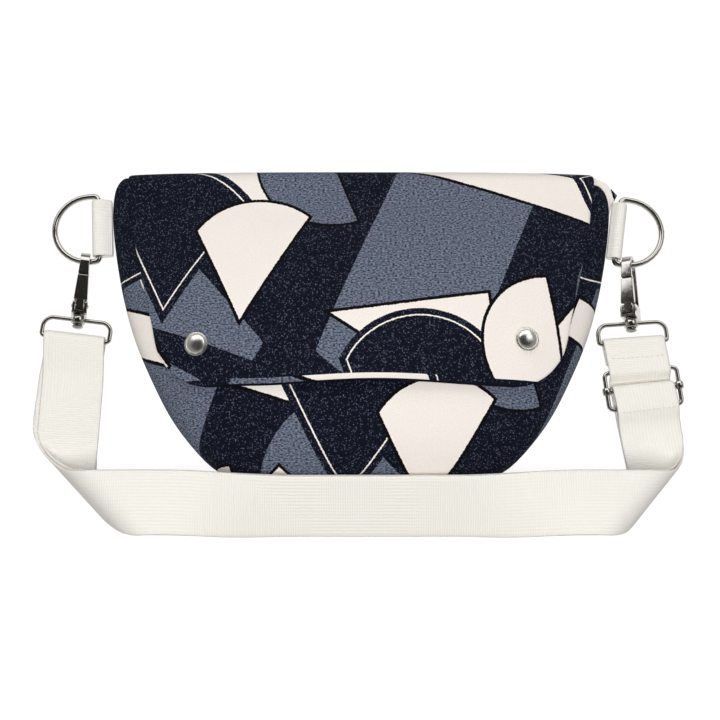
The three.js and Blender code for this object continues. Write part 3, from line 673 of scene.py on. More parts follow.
# %% Flap shape
FLAP_COLUMNS = 80
FLAP_FRONT = 70
FLAP_TURN = 16
FRONT_LENGTH = 122.5


def flap_front(x, y):
    """A point of the flap where it lies on the front: off the front by an even gap, with its hem, lift and waves."""
    up = min((y - EDGE_Y) / HEM_LENGTH, 1.0)
    hem = HEM_DROP * (1 - math.sqrt(1 - (1 - up) ** 2))
    p = Vector((x, y, front_height(x, y))) + front_normal(x, y) * (FLAP_OFF - hem)
    low = smooth((-10 - y) / 30)
    p.z += low * EDGE_LIFT * (1 - smooth(abs(x - 8) / 75))
    p.y += low * EDGE_RISE * (1 - smooth(abs(x - 12) / 70))
    near = min(math.hypot(x - sx, y - sy) for sx, sy in SNAPS.values())
    free = 1 - math.exp(-((near / SNAP_HOLD) ** 2))
    p.z += free * (1.1 * ripple(x, y, 60, seed=7.0) + 0.35 * ripple(x, y, 22, seed=9.0))
    p.z -= DENT_DEEP * math.exp(-(((near - DENT_AT) / DENT_WIDE) ** 2))
    return p


def flap_point(i, j):
    """A point of the flap's sheet: rows go up the front, then round the mouth, and the last one is the seam."""
    share = 2 * i / FLAP_COLUMNS - 1
    if j < FLAP_FRONT:
        y = EDGE_Y + FRONT_LENGTH * (j / FLAP_FRONT) ** 1.35
        return flap_front(share * read(FLAP, y, 1), y)
    x = share * FLAP[-1][1]
    back_z = FLAP_THICK / 2
    turn = (front_height(x, BACK_TOP_Y) + FLAP_OFF - back_z) / 2
    k = j - FLAP_FRONT
    if k > FLAP_TURN:
        return Vector((x, BACK_TOP_Y + 0.5, back_z))
    a = math.pi * (0.5 - k / FLAP_TURN)
    y = FOLD_Y - FLAP_THICK / 2 - turn + turn * math.cos(a)
    return Vector((x, y, back_z + turn + turn * math.sin(a)))


print("flap, at its edge's middle:", round(flap_front(0, EDGE_Y).z, 1), "mm above the floor")

# %% Flap
flap_cut = draped(FLAP_COLUMNS, FLAP_FRONT + FLAP_TURN + 1, flap_point)
# The hem is turned up from the lining's side, so another place of the pattern shows on it. Its lowest strip gets the
# nearly black cloth as a painted shadow line.
flat_map = flap_cut.loops.layers.uv["cloth_mm"]
for face in flap_cut.faces:
    from_edge = max(loop[flat_map].uv.y for loop in face.loops)
    face.material_index = 1 if from_edge < HEM_SHADOW_SEEN else 0
    if from_edge < HEM_SEEN:
        for loop in face.loops:
            loop[flat_map].uv += HEM_SHIFT
flap = keep(flap_cut, "flap_sheet", flap_cloth, "flap", "bag")
flap.data.materials.append(hem_shadow_cloth)
thicken(flap, FLAP_THICK, 0)

# %% [markdown]
# ## Turned and bent metal
#
# Two ways of working make nearly all the fittings. Turned pieces, such as a snap's cap, are a profile spun round
# an axis. Bent pieces, such as a ring, are a section that is run straight and bent round corners, as a wire is:
# extrude makes the straight runs and spin makes the bends. A curve with a bevel could make the wires too, but it would
# have to be turned into a mesh, and its bends wouldn't be true arcs.


# %% Turning
def turned(profile, steps=32):
    """A solid of a profile of (radius, height) spun round Z."""
    bm = bmesh.new()
    verts = [bm.verts.new((r, 0, h)) for r, h in profile]
    edges = [bm.edges.new(pair) for pair in zip(verts, verts[1:])]
    bmesh.ops.spin(
        bm, geom=verts + edges, cent=(0, 0, 0), axis=(0, 0, 1), angle=2 * math.pi, steps=steps, use_merge=True
    )
    bmesh.ops.remove_doubles(bm, verts=bm.verts, dist=1e-4)
    bmesh.ops.recalc_face_normals(bm, faces=bm.faces)
    return bm


def joined(bm, other, matrix=None):
    """Puts another bmesh, moved by the matrix, into the first."""
    if matrix is not None:
        bmesh.ops.transform(other, matrix=matrix, verts=other.verts)
    shell = bpy.data.meshes.new("shell")
    other.to_mesh(shell)
    other.free()
    bm.from_mesh(shell)
    bpy.data.meshes.remove(shell)


print("turning: a profile spun round Z")


# %% Bending
BEND_STEP = 10


def bent(section, start, heading, moves, closed):
    """A section run and bent in the XY plane. moves are ("run", length) and ("bend", radius, degrees to the left)."""
    bm = bmesh.new()
    ring = [bm.verts.new(Vector((0, across, up))) for across, up in section]
    edges = [bm.edges.new((ring[k], ring[(k + 1) % len(ring)])) for k in range(len(ring))]
    at = Vector((*start, 0))
    angle = math.radians(heading)
    bmesh.ops.transform(bm, matrix=Matrix.Translation(at) @ Matrix.Rotation(angle, 4, "Z"), verts=bm.verts)
    for move in moves:
        ahead = Vector((math.cos(angle), math.sin(angle), 0))
        if move[0] == "run":
            geom = bmesh.ops.extrude_edge_only(bm, edges=edges)["geom"]
            bmesh.ops.translate(bm, vec=ahead * move[1], verts=[v for v in geom if isinstance(v, bmesh.types.BMVert)])
            at = at + ahead * move[1]
        else:
            radius, degrees = move[1:]
            hand = math.copysign(1, degrees)
            centre = at + Vector((-ahead.y, ahead.x, 0)) * radius * hand
            steps = max(4, round(abs(degrees) / BEND_STEP))
            turn = math.radians(degrees)
            geom = bmesh.ops.spin(
                bm, geom=edges, cent=centre, axis=(0, 0, 1), angle=turn, steps=steps, use_merge=False
            )["geom_last"]
            at = centre + Matrix.Rotation(turn, 3, "Z") @ (at - centre)
            angle += turn
        edges = [e for e in geom if isinstance(e, bmesh.types.BMEdge)]
    bmesh.ops.remove_doubles(bm, verts=bm.verts, dist=1e-3)
    if not closed:
        bmesh.ops.holes_fill(bm, edges=[e for e in bm.edges if e.is_boundary], sides=0)
    bmesh.ops.recalc_face_normals(bm, faces=bm.faces)
    return bm


def round_wire(radius, sides=16):
    """The round section of a wire."""
    angles = [2 * math.pi * k / sides for k in range(sides)]
    return [(radius * math.cos(a), radius * math.sin(a)) for a in angles]


print("bending: one step for each", BEND_STEP, "degrees of a bend")

# %% [markdown]
# ## Snaps
#
# Two snaps hold the flap shut. Each shows a pressed cap with a rolled rim and a low dome, and below it the stud and
# socket are closed, so one plain disc stands for both. They are round, so both are turned, and then set square to the
# cloth where they sit.

# %% Snaps
CAP_OFF = 5.55
STUD_OFF = 1.1
SNAP_CREASE = math.radians(50)


def dome(base, radius, top, steps=9):
    """The arc of a low dome, from its rim to the axis."""
    angles = [math.pi / 2 * k / steps for k in range(steps)]
    return [(radius * math.cos(a), base + (top - base) * math.sin(a)) for a in angles] + [(0, top)]


CAP = [(0, -0.8), (6.7, -0.8), (7.15, -0.45), (7.2, 0.2), (7.0, 0.7), (6.7, 0.9), (6.45, 0.85)] + dome(0.95, 6.3, 3.6)
STUD = [(0, -0.5), (4.7, -0.5), (5.0, -0.25), (5.0, 0.25), (4.7, 0.5), (0, 0.5)]
for name, (x, y) in SNAPS.items():
    normal = front_normal(x, y)
    foot = Vector((x, y, front_height(x, y)))
    aim = normal.to_track_quat("Z", "Y").to_matrix().to_4x4()
    cap = turned(CAP, 40)
    bmesh.ops.transform(cap, matrix=Matrix.Translation(foot + normal * CAP_OFF) @ aim, verts=cap.verts)
    keep(cap, "snap_dome_" + name, cap_nickel_brightened, "snap_cap_" + name, "bag", SNAP_CREASE)
    stud = turned(STUD, 24)
    bmesh.ops.transform(stud, matrix=Matrix.Translation(foot + normal * STUD_OFF) @ aim, verts=stud.verts)
    keep(stud, "snap_disc_" + name, nickel, "snap_stud_" + name, "bag", SNAP_CREASE)

# %% [markdown]
# ## Rings and tabs
#
# At each upper corner a short loop of webbing is caught in the seam and holds a D-shaped ring. The left one
# points nearly straight out and the right one hangs a little more, so both are made from the same sizes in
# their own axes, out from the bag and up along it, and then put in place by a matrix.

# %% Side sizes
# Millimetres and degrees. lean, tilt and run are the turns of hook, loop and strap as the bag is seen from above, and
# swivel is the hook's turn on its post.
SIDES = {
    "left": {
        "sign": -1,
        "level": 66.5,
        "droop": 4.0,
        "reach": 9.1,
        "contact": 8.0,
        "lean": -3.0,
        "swivel": -14.0,
        "tilt": -7.0,
        "run": -2.0,
    },
    "right": {
        "sign": 1,
        "level": 65.0,
        "droop": 9.0,
        "reach": 5.6,
        "contact": 8.5,
        "lean": -1.0,
        "swivel": -27.0,
        "tilt": 4.0,
        "run": 9.0,
    },
}
ANCHOR_X = 156.0
RING_Z = 8.6
RING_WIRE = 1.9
RING_HALF = 21.7
RING_LEG = 5.6
RING_CORNER = 2.5
WEBBING = 38.0
WEBBING_THICK = 1.7
GAP = 0.35


def side_axes(side):
    """Matrix from a side's own axes, X out from the bag and Y up along it, to the bag's."""
    sign, droop = side["sign"], math.radians(side["droop"])
    c, s = math.cos(droop), math.sin(droop)
    return Matrix(
        ((sign * c, sign * s, 0, sign * ANCHOR_X), (-s, c, 0, side["level"]), (0, 0, 1, 0), (0, 0, 0, 1))
    )


def turn_z(degrees):
    """A turn to the left as the bag is seen from above."""
    return Matrix.Rotation(math.radians(degrees), 4, "Z")


for name, side in SIDES.items():
    print(name, "tab is sewn in at", [round(v, 1) for v in side_axes(side).translation])

# %% D-rings and tabs
TAB_COLUMNS = 16
TAB_BEGIN = 150.0
TAB_ROOT_Z = 7.2
TAB_WIDTH = WEBBING - 0.6
TAB_THICK = WEBBING_THICK - 0.1
for name, side in SIDES.items():
    place, reach, sign = side_axes(side), side["reach"], side["sign"]
    leg = RING_LEG - RING_CORNER
    half = RING_HALF - RING_CORNER
    moves = [("run", half), ("bend", RING_CORNER, -90), ("run", leg), ("bend", RING_HALF, -180), ("run", leg)]
    moves += [("bend", RING_CORNER, -90), ("run", half)]
    ring = bent(round_wire(RING_WIRE), (reach, 0), 90, moves, True)
    bmesh.ops.transform(ring, matrix=place @ Matrix.Translation((0, 0, RING_Z)), verts=ring.verts)
    bmesh.ops.recalc_face_normals(ring, faces=ring.faces)
    keep(ring, "ring_" + name, nickel, "d_ring_" + name, "bag")

    # The tab's path as distance out and height: out under the ring, round its wire and back above it
    fold = RING_WIRE + GAP + WEBBING_THICK / 2
    path = [(0.2, TAB_ROOT_Z - 1.1), (1.6, TAB_ROOT_Z - 1.25)]
    path += [(reach * 0.62, RING_Z - fold * 0.86)]
    turns = [math.radians(a) for a in range(0, 181, 15)]
    path += [(reach + fold * math.sin(a), RING_Z - fold * math.cos(a)) for a in turns]
    path += [(reach * 0.62, RING_Z + fold * 0.86), (1.6, TAB_ROOT_Z + 1.25), (0.2, TAB_ROOT_Z + 1.1)]

    def tab_point(i, j):
        """A point of the tab: along the path by row, and across it by column."""
        out, up = path[j]
        across = (i / TAB_COLUMNS - 0.5) * TAB_WIDTH
        return place @ Vector((out, across * sign, up))

    tab_cut = draped(TAB_COLUMNS, len(path) - 1, tab_point, TAB_BEGIN)
    tab = keep(tab_cut, "tab_loop_" + name, webbing, "tab_" + name, "bag")
    thicken(tab, TAB_THICK, 0)

# %% [markdown]
# ## Snap hooks
#
# A snap hook is a strip of metal bent over at the top, on a slotted base. A gate turns on a pin in the slot and
# springs shut against the hook's nose, and a post under the base turns in the loop that holds the strap. Seen
# from above, the gate is on top. A cast hook could be one rounded lump, but this one is plainly strip and plate, so it
# is bent and cut from those. It is made in its own axes: X across it, Y up it and Z out of its gate.

# %% Hook sizes
HOOK_EYE = 4.6
HOOK_STRIP = 2.6
HOOK_TOP = 33.0
HOOK_NOSE = 25.0
HOOK_WIDTHS = (9.4, 5.8)
HOOK_BASE = 8.0
HOOK_OUT = HOOK_EYE + HOOK_STRIP
PIN = (4.6, 4.4)
GATE_TOP = 26.6
RING_SLACK = 1.2
WIRE_AT = HOOK_TOP + HOOK_EYE - RING_WIRE - RING_SLACK
HOOK_CREASE = math.radians(40)
print("hook:", HOOK_TOP + HOOK_OUT, "mm long, with the ring's wire at", round(WIRE_AT, 1), "mm")


# %% Plates
def hook_width(v):
    """The strip tapers from its base to its top."""
    share = min(max(v / HOOK_TOP, 0.0), 1.0)
    return HOOK_WIDTHS[0] + (HOOK_WIDTHS[1] - HOOK_WIDTHS[0]) * share


def tapered(bm):
    """Makes a piece that is one unit wide as wide as the hook is at each level."""
    for vert in bm.verts:
        vert.co.x *= hook_width(vert.co.y)


def slab(outline, low, high):
    """A flat outline in YZ made into a block between two values of X."""
    bm = bmesh.new()
    face = bm.faces.new([bm.verts.new((low, y, z)) for y, z in outline])
    geom = bmesh.ops.extrude_face_region(bm, geom=[face])["geom"]
    bmesh.ops.translate(bm, vec=(high - low, 0, 0), verts=[v for v in geom if isinstance(v, bmesh.types.BMVert)])
    bmesh.ops.recalc_face_normals(bm, faces=bm.faces)
    return bm


def eased(bm, width):
    """Rounds every sharp edge of a block."""
    sharp = [e for e in bm.edges if len(e.link_faces) == 2 and e.calc_face_angle() > math.radians(35)]
    bmesh.ops.bevel(bm, geom=sharp, offset=width, affect="EDGES", segments=2, profile=0.5, material=-1)
    return bm


def flat_faced(piece):
    """Keeps the flat faces of a block flat to the eye, so that only its rounded edges catch the light."""
    even = piece.modifiers.new("flat_faces", "WEIGHTED_NORMAL")
    even.keep_sharp = True


print("strip:", hook_width(0), "to", hook_width(HOOK_TOP), "mm wide")

# %% Hook places
# Each hook hangs with its eye on the ring's wire. hanging is where it hangs, and facing is the same with the hook
# turned on its post.
hanging, facing = {}, {}
for name, side in SIDES.items():
    c = math.radians(side["contact"])
    own = Vector((side["reach"] + RING_LEG + RING_HALF * math.sin(c), -RING_HALF * math.cos(c), RING_Z))
    touch = side_axes(side) @ own
    hanging[name] = Matrix.Translation(touch) @ turn_z(side["lean"]) @ Matrix.Translation((0, -WIRE_AT, 0))
    facing[name] = hanging[name] @ Matrix.Rotation(side["sign"] * math.radians(side["swivel"]), 4, "Y")
    print(name, "hook touches its ring at", [round(v, 1) for v in touch])

# %% Hooks
# The strip runs up the spine, is bent over the eye and comes down to the nose. It is bent flat, with X up the spine
# and Y towards it, and then set upright.
UPRIGHT = Matrix(((0, 0, 1, 0), (1, 0, 0, 0), (0, -1, 0, 0), (0, 0, 0, 1)))
Y_TO_Z = Matrix.Rotation(math.radians(90), 4, "X")
POST = [(0, -8.9), (1.5, -8.8), (2.7, -8.4), (3.4, -7.8), (3.5, -7.2), (3.1, -6.8), (2.2, -6.7), (2.2, 0.6), (0, 0.6)]
half, middle = HOOK_STRIP / 2, HOOK_EYE + HOOK_STRIP / 2
strip = [(-half, -0.5), (half, -0.5), (half, 0.5), (-half, 0.5)]
bends = [("run", 1.0), ("run", 14.0), ("run", HOOK_TOP - 16), ("bend", middle, -180), ("run", HOOK_TOP - HOOK_NOSE)]
low, high = -HOOK_OUT, HOOK_OUT - 0.6
CHEEK_IN, CHEEK_OUT = 2.7, 4.6
cheek = [(1.0, 0.0), (HOOK_BASE, 0.0), (HOOK_BASE, high - 1.8), (HOOK_BASE - 1.2, high), (1.0, high)]
for name in SIDES:
    hook = bent(strip, (1.0, middle), 0, bends, False)
    bmesh.ops.transform(hook, matrix=UPRIGHT, verts=hook.verts)
    tapered(hook)
    bmesh.ops.recalc_face_normals(hook, faces=hook.faces)
    eased(hook, 0.45)
    base = eased(slab([(0, low), (1.5, low), (1.5, high), (0, high)], -0.5, 0.5), 0.05)
    tapered(base)
    joined(hook, base)
    spine = slab([(1.0, low), (HOOK_BASE, low), (HOOK_BASE, 0.2), (1.0, 0.2)], -CHEEK_OUT, CHEEK_OUT)
    joined(hook, eased(spine, 0.4))
    for hand in (-1, 1):
        joined(hook, eased(slab(cheek, *sorted((hand * CHEEK_IN, hand * CHEEK_OUT))), 0.35))
    joined(hook, turned(POST, 24), Y_TO_Z.inverted())
    bmesh.ops.transform(hook, matrix=facing[name], verts=hook.verts)
    flat_faced(keep(hook, "snap_hook_" + name, nickel, "hook_" + name, "hook_" + name, HOOK_CREASE))

# %% Gates
# A gate is a plate as wide as the strip, with a tongue that goes into the slot and a pin with riveted ends.
TONGUE_HALF = 2.3
foot, nose = HOOK_BASE + 0.6, HOOK_NOSE - 0.6
plate = [(foot, PIN[1] - 0.6), (foot, HOOK_OUT - 0.5), (foot + 4, HOOK_OUT - 0.2), (nose, HOOK_OUT - 0.4)]
plate += [(nose, HOOK_EYE - 0.4), (GATE_TOP, HOOK_EYE - 0.4), (GATE_TOP, HOOK_EYE - 1.8), (foot + 4, HOOK_EYE - 1.8)]
tongue = [(PIN[0] - 2, PIN[1] - 1.9), (PIN[0] - 2, PIN[1] + 1.7), (foot + 1, HOOK_OUT - 0.8), (foot + 1, PIN[1] - 0.6)]
rivet_end = [(1.0, 4.65), (1.4, 4.7), (1.35, 4.85), (0.8, 5.2), (0, 5.3)]
rivet_shape = [(r, -h) for r, h in reversed(rivet_end)] + rivet_end
in_slot = Matrix.Translation((0, *PIN)) @ Matrix.Rotation(math.radians(90), 4, "Y")
for name in SIDES:
    gate = slab(plate, -0.5, 0.5)
    tapered(gate)
    eased(gate, 0.4)
    joined(gate, eased(slab(tongue, -TONGUE_HALF, TONGUE_HALF), 0.3))
    joined(gate, turned(rivet_shape, 20), in_slot)
    bmesh.ops.transform(gate, matrix=facing[name], verts=gate.verts)
    flat_faced(keep(gate, "snap_gate_" + name, nickel, "gate_" + name, "gate_" + name, HOOK_CREASE))

# %% [markdown]
# ## Strap loops
#
# Under each hook hangs a wire frame that the strap goes through. A sleeve on its upper side lets the hook's post turn,
# loose enough to tilt with the strap. The wire is bent as the rings are, and the sleeve is turned. Each loop also
# tells where its run of the strap starts and which way it goes.

# %% Strap loops
LOOP = {"half": 21.0, "top": -3.2, "height": 12.0, "shoulder": 6.0, "corner": 1.9, "wire": 1.4}
SLEEVE = [(2.9, -2.6), (3.9, -2.6), (4.35, -2.1), (4.35, 2.1), (3.9, 2.6), (2.9, 2.6), (2.9, -2.6)]
shoulder, corner = ("bend", LOOP["shoulder"], 90), ("bend", LOOP["corner"], 90)
upright = ("run", LOOP["height"] - LOOP["shoulder"] - LOOP["corner"])
half_foot = ("run", LOOP["half"] - LOOP["corner"])
bends = [half_foot, corner, upright, shoulder, ("run", 2 * (LOOP["half"] - LOOP["shoulder"]))]
bends += [shoulder, upright, corner, half_foot]
runs = {}
for name, side in SIDES.items():
    hang = hanging[name] @ Matrix.Translation((0, LOOP["top"], 0)) @ turn_z(side["tilt"] - side["lean"])
    loop = bent(round_wire(LOOP["wire"]), (0, -LOOP["height"]), 0, bends, True)
    joined(loop, turned(SLEEVE, 28), Y_TO_Z)
    bmesh.ops.transform(loop, matrix=hang, verts=loop.verts)
    keep(loop, "strap_loop_" + name, nickel, "loop_" + name, "bag", math.radians(50))
    along = math.radians(side["run"])
    runs[name] = {
        "start": hang @ Vector((0, -LOOP["height"], 0)),
        "down": Vector((math.sin(along), -math.cos(along), 0)),
        "across": Vector((math.cos(along), math.sin(along), 0)),
    }
    print(name, "run starts at", [round(v, 1) for v in runs[name]["start"]])

# %% [markdown]
# ## Slider
#
# The slider sets the strap's length. It is a wire frame with a bar across its middle, and the bar's ends are
# rolled round the frame's sides into small collars. The frame is bent wire like the loops, and the bar and its collars
# are turned.

# %% Slider place
SLIDER_AT = 29.0
SLIDER_Z = 7.3
TILT_LENGTH = 75.0


def strap_turn(name, g):
    """The strap lies square to its loop at the bar and square to its own run farther down. In degrees."""
    side = SIDES[name]
    return side["run"] + (side["tilt"] - side["run"]) * (1 - smooth(g / TILT_LENGTH))


centre = runs["right"]["start"] + runs["right"]["down"] * SLIDER_AT
centre.z = SLIDER_Z
on_run = Matrix.Translation(centre) @ turn_z(strap_turn("right", SLIDER_AT))
print("slider's middle at", [round(v, 1) for v in centre])

# %% Slider
SLIDER_PITCH = 11.5
SLIDER_HALF = 22.3
SLIDER_CORNER = 3.0
SLIDER_WIRE = 1.4
BAR_HALF = 20.4
COLLAR = [(1.75, -2.1), (2.4, -2.1), (2.7, -1.7), (2.7, 1.7), (2.4, 2.1), (1.75, 2.1), (1.75, -2.1)]
long_side, short_side = 2 * (SLIDER_HALF - SLIDER_CORNER), 2 * (SLIDER_PITCH - SLIDER_CORNER)
corner = ("bend", SLIDER_CORNER, 90)
moves = [("run", long_side / 2), corner, ("run", short_side), corner, ("run", long_side), corner]
moves += [("run", short_side), corner, ("run", long_side / 2)]
slider = bent(round_wire(SLIDER_WIRE), (0, -SLIDER_PITCH), 0, moves, True)
bmesh.ops.transform(slider, matrix=on_run, verts=slider.verts)
keep(slider, "slider_wire", nickel, "slider_frame", "bag")
bar = turned([(0, -BAR_HALF), (SLIDER_WIRE, -BAR_HALF), (SLIDER_WIRE, BAR_HALF), (0, BAR_HALF)], 16)
bmesh.ops.transform(bar, matrix=Matrix.Rotation(math.radians(90), 4, "Y"), verts=bar.verts)
for hand in (-1, 1):
    joined(bar, turned(COLLAR, 24), Matrix.Translation((hand * SLIDER_HALF, 0, 0)) @ Y_TO_Z)
bmesh.ops.transform(bar, matrix=on_run, verts=bar.verts)
keep(bar, "slider_crossbar", nickel, "slider_bar", "bag", math.radians(50))

# %% [markdown]
# ## Strap
#
# The strap is one length of webbing that lies double. From its sewn end at the right loop it goes through the
# slider, down the right side, over a soft diagonal fold, across in front of the bag, over the left fold and up to
# the left loop, and then all the way back on top to the slider's bar. A flat strip bent round a cylinder that
# lies across it at 45 degrees turns the corner as real webbing does, so each fold is such a cylinder. A simulation
# could drop it into place, but it would take luck to land as in the photograph.

# %% Folds
LAYER = WEBBING_THICK + GAP
RUN_Z = WEBBING_THICK / 2 + LAYER / 2 + GAP
FOLD_RADIUS = 13.0
BAND_Y = -108.5
fold_normal = {
    "left": (Vector((-1, 0, 0)) + runs["left"]["down"]).normalized(),
    "right": (Vector((1, 0, 0)) + runs["right"]["down"]).normalized(),
}


def fold_start(name):
    """Where the strip's middle line starts to turn, so that it comes out along the run."""
    start, down = runs[name]["start"], runs[name]["down"]
    x = start.x + down.x * (BAND_Y - start.y) / down.y
    return x - math.pi * FOLD_RADIUS / 2 / fold_normal[name].x


FOLD_AT = {name: fold_start(name) for name in runs}
print("the folds start at", {name: round(x, 1) for name, x in FOLD_AT.items()})

# %% [markdown]
# ## The band in front
#
# Between its folds the strap lies in front of the bag. It comes off each fold at the fold's full height and flat, then
# sinks to a lower level and leans outwards, because its inner edge rests against the bag. A point is first placed on
# the flat strip, and this function then says where the folds and the lean take it.

# %% Band and folds
BAND_Z = RUN_Z + 2 * FOLD_RADIUS
BAND_SETTLE = 2.0
BAND_MIDDLE_Z = 20.0
BAND_LEAN = math.radians(26)
LEAN_START = 24.0
LEAN_LENGTH = 80.0
# How far each fold leans over towards the bag
ROLL = {"left": 14.9, "right": 6.5}


def band_point(s, q, h):
    """A point of the flat strip, s along and q across, on the layer at height h, after the folds."""
    name = "left" if s < 0 else "right"
    n = fold_normal[name]
    t = (s - FOLD_AT[name]) * n.x + q * n.y
    share = min(max((s - FOLD_AT["left"]) / (FOLD_AT["right"] - FOLD_AT["left"]), 0.0), 1.0)
    slide = ROLL["left"] - (ROLL["left"] + ROLL["right"]) * share
    if t > 0:
        p = Vector((s, BAND_Y + q, 0)) - n * t
        a = t / FOLD_RADIUS
        if a < math.pi:
            layer = FOLD_RADIUS + h
            p += n * layer * math.sin(a)
            p.x += slide * smooth((1 - a / math.pi) / 0.6)
            p.z = RUN_Z + FOLD_RADIUS + layer * math.cos(a)
            return p
        p -= n * (t - math.pi * FOLD_RADIUS)
        p.z = RUN_Z - h
        return p
    from_fold = min(s - FOLD_AT["left"] - LEAN_START, FOLD_AT["right"] - LEAN_START - s)
    settle = smooth(from_fold / LEAN_LENGTH)
    lean = BAND_LEAN * settle
    below = WEBBING / 2 - q
    y = BAND_Y + WEBBING / 2 - BAND_SETTLE * settle - below * math.cos(lean) - h * math.sin(lean)
    z = BAND_Z + (BAND_MIDDLE_Z - BAND_Z) * settle - below * math.sin(lean) + h * math.cos(lean)
    return Vector((s + slide, y, z))


print("band, at its middle:", [round(v, 1) for v in band_point(0, 0, 0)])

# %% [markdown]
# ## The runs at the sides
#
# On each side the strap runs down from its loop to its fold. Seen from the side it is a line that goes round a loop's
# wire or over the slider, so that line is given by a few points of distance and height and drawn as a smooth curve.

# %% Runs
WRAP = LOOP["wire"] + GAP + WEBBING_THICK / 2
LOOSE_SHIFT = 5.0
LOOSE_LENGTH = 80.0


def loosened(p):
    """The lower layer of the left run lies a little farther out than the upper one."""
    run = runs["left"]
    share = min(max((p - run["start"]).dot(run["down"]) / LOOSE_LENGTH, 0.0), 1.0)
    return p - run["across"] * LOOSE_SHIFT * math.sin(math.pi * share) ** 2


def eased_profile(points, parts=4):
    """A profile of (distance down the run, height) drawn as a smooth curve through its points."""
    out = []
    for k in range(len(points) - 1):
        p0, p1, p2, p3 = (points[min(max(k + d, 0), len(points) - 1)] for d in (-1, 0, 1, 2))
        for step in range(parts):
            t = step / parts
            out.append(
                tuple(
                    0.5 * (2 * b + (c - a) * t + (2 * a - 5 * b + 4 * c - d) * t**2 + (3 * b - a - 3 * c + d) * t**3)
                    for a, b, c, d in zip(p0, p1, p2, p3)
                )
            )
    return out + [points[-1]]


def wrapped(g, z, first, last, steps=8):
    """The part of a profile that goes round a wire, from one angle to another."""
    angles = [math.radians(first + (last - first) * k / steps) for k in range(steps + 1)]
    return [(g + WRAP * math.cos(a), z + WRAP * math.sin(a)) for a in angles]


def run_row(name, g, z, loose=False):
    """One row of the strip on a run, as a function of the place across it."""
    run = runs[name]
    hand = -1 if name == "left" else 1
    across = turn_z(strap_turn(name, g)) @ Vector((hand, 0, 0))

    def row(q):
        p = run["start"] + run["down"] * g + across * q
        p.z = z
        return loosened(p) if loose else p

    return row


print("webbing goes round a wire at", round(WRAP, 2), "mm from its middle")

# %% Right and left profiles
top_run, low_run = RUN_Z + LAYER / 2, RUN_Z - LAYER / 2
slider_top, slider_low = SLIDER_AT - SLIDER_PITCH, SLIDER_AT + SLIDER_PITCH
right_tail = [(13.5, RING_Z - 2.75), (7, RING_Z - 2.65)] + wrapped(0, RING_Z, 270, 90)
right_tail += [(9, SLIDER_Z + WRAP + 0.7), (slider_top - 2, SLIDER_Z + WRAP)]
right_tail += [(slider_top + 2, SLIDER_Z + WRAP - 0.5), (SLIDER_AT - 6, 4.3)]
right_tail += [(SLIDER_AT, SLIDER_Z - WRAP - LAYER - 0.1), (slider_low, 1.9), (slider_low + 8, low_run)]
left_up = [(24, low_run), (9, RING_Z - WRAP - 0.9)]
left_over = wrapped(0, RING_Z, 270, 90) + [(9, RING_Z + WRAP - 2.4), (24, top_run + 0.4)]
right_end = [(slider_low + 9, top_run + 1.6), (slider_low + 1, SLIDER_Z + WRAP)]
right_end += [(SLIDER_AT + 4, SLIDER_Z + WRAP + 0.1)] + wrapped(SLIDER_AT, SLIDER_Z, 90, 270)
right_end += [(SLIDER_AT + 5.5, SLIDER_Z - WRAP + 0.1)]
print("profile points:", [len(profile) for profile in (right_tail, left_up, left_over, right_end)])

# %% Strap
STRAP_COLUMNS = 10


def run_start(name):
    """Where along the flat strip the run's straight part starts, a little past its fold."""
    n = fold_normal[name]
    return FOLD_AT[name] + (math.pi * FOLD_RADIUS + WEBBING / 2 * abs(n.y) + 2) / n.x


def band_row(s, h):
    """One row of the strip on the band and its folds, as a function of the place across it."""

    def row(q):
        p = band_point(s, q, h)
        return loosened(p) if h > 0 and s < FOLD_AT["left"] else p

    return row


marks = []
ends = [run_start("right"), FOLD_AT["right"] - 20, FOLD_AT["left"] + 20, run_start("left")]
for first, last, parts in zip(ends, ends[1:], (44, 40, 44)):
    marks += [first + (last - first) * k / parts for k in range(parts)]
marks.append(ends[-1])
rows = [run_row("right", g, z) for g, z in eased_profile(right_tail, 3)]
rows += [band_row(s, LAYER / 2) for s in marks]
rows += [run_row("left", g, z, True) for g, z in eased_profile(left_up, 4)]
rows += [run_row("left", g, z) for g, z in eased_profile(left_over, 3)]
rows += [band_row(s, -LAYER / 2) for s in reversed(marks)]
rows += [run_row("right", g, z) for g, z in eased_profile(right_end, 3)]
strap_sheet = draped(STRAP_COLUMNS, len(rows) - 1, lambda i, j: rows[j]((i / STRAP_COLUMNS - 0.5) * WEBBING))
flat_map = strap_sheet.loops.layers.uv["cloth_mm"]
strap_length = max(loop[flat_map].uv.y for face in strap_sheet.faces for loop in face.loops)
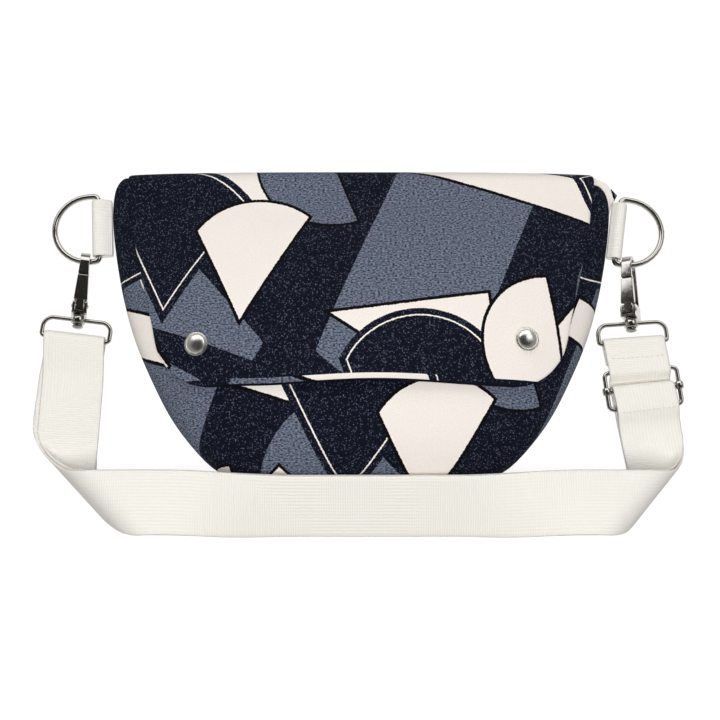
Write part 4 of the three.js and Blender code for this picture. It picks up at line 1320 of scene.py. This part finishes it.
strap = keep(strap_sheet, "strap_webbing", webbing, "strap", "bag")
thicken(strap, WEBBING_THICK, 0)
print("strap length:", round(strap_length), "mm")

# %% [markdown]
# ## Stitches
#
# The strap's end is sewn down under the right loop, and its other end is sewn down after it has gone round the
# slider's bar. A stitch goes into the webbing at both ends, so only its crown is seen. A drawn line would do from afar,
# but thread catches the light, so each stitch is a small flattened bead that sits half in the webbing.

# %% Sewing thread
TWIST_MM = 0.5
STRIPE_UNITS = 0.3
thread, tree = new_material("ivory_sewing_thread")
# Twisted polyester thread with its twist as fine stripes. It is drawn darker and warmer than the ivory webbing, which
# paints in the shade along the sunken seam. At a scale of 1, a wave texture has a stripe about every 0.3 units.
spot = add_node(tree, "ShaderNodeTexCoord").outputs["Object"]
twist = {"Vector": spot, "Scale": STRIPE_UNITS / (TWIST_MM * MM)}
twist = add_node(tree, "ShaderNodeTexWave", twist, bands_direction="DIAGONAL")
tone = {"Fac": twist.outputs["Fac"], "Color1": linear("#d8ccba"), "Color2": linear("#ece4d6")}
tone = add_node(tree, "ShaderNodeMixRGB", tone).outputs["Color"]
shade = add_node(tree, "ShaderNodeBsdfPrincipled", {"Base Color": tone, "Roughness": 0.6})
add_node(tree, "ShaderNodeOutputMaterial", {"Surface": shade.outputs["BSDF"]})
print("thread ready, with a twist of", TWIST_MM, "mm")

# %% Stitches
STITCH = (2.2, 0.6, 0.45)
STITCH_PITCH = 3.0
STITCHES_EACH_WAY = 5
# distance down the right run, height of the webbing's middle there
SEAMS = [(10.0, 10.52), (43.0, 9.55)]
sewing = bmesh.new()
for g, z in SEAMS:
    row = run_row("right", g, z + WEBBING_THICK / 2)
    for k in range(-STITCHES_EACH_WAY, STITCHES_EACH_WAY + 1):
        bead = bmesh.new()
        bmesh.ops.create_uvsphere(bead, u_segments=8, v_segments=6, radius=0.5)
        bmesh.ops.scale(bead, vec=STITCH, verts=bead.verts)
        joined(sewing, bead, Matrix.Translation(row(k * STITCH_PITCH)) @ turn_z(strap_turn("right", g)))
keep(sewing, "strap_stitches", thread, "strap", "bag")
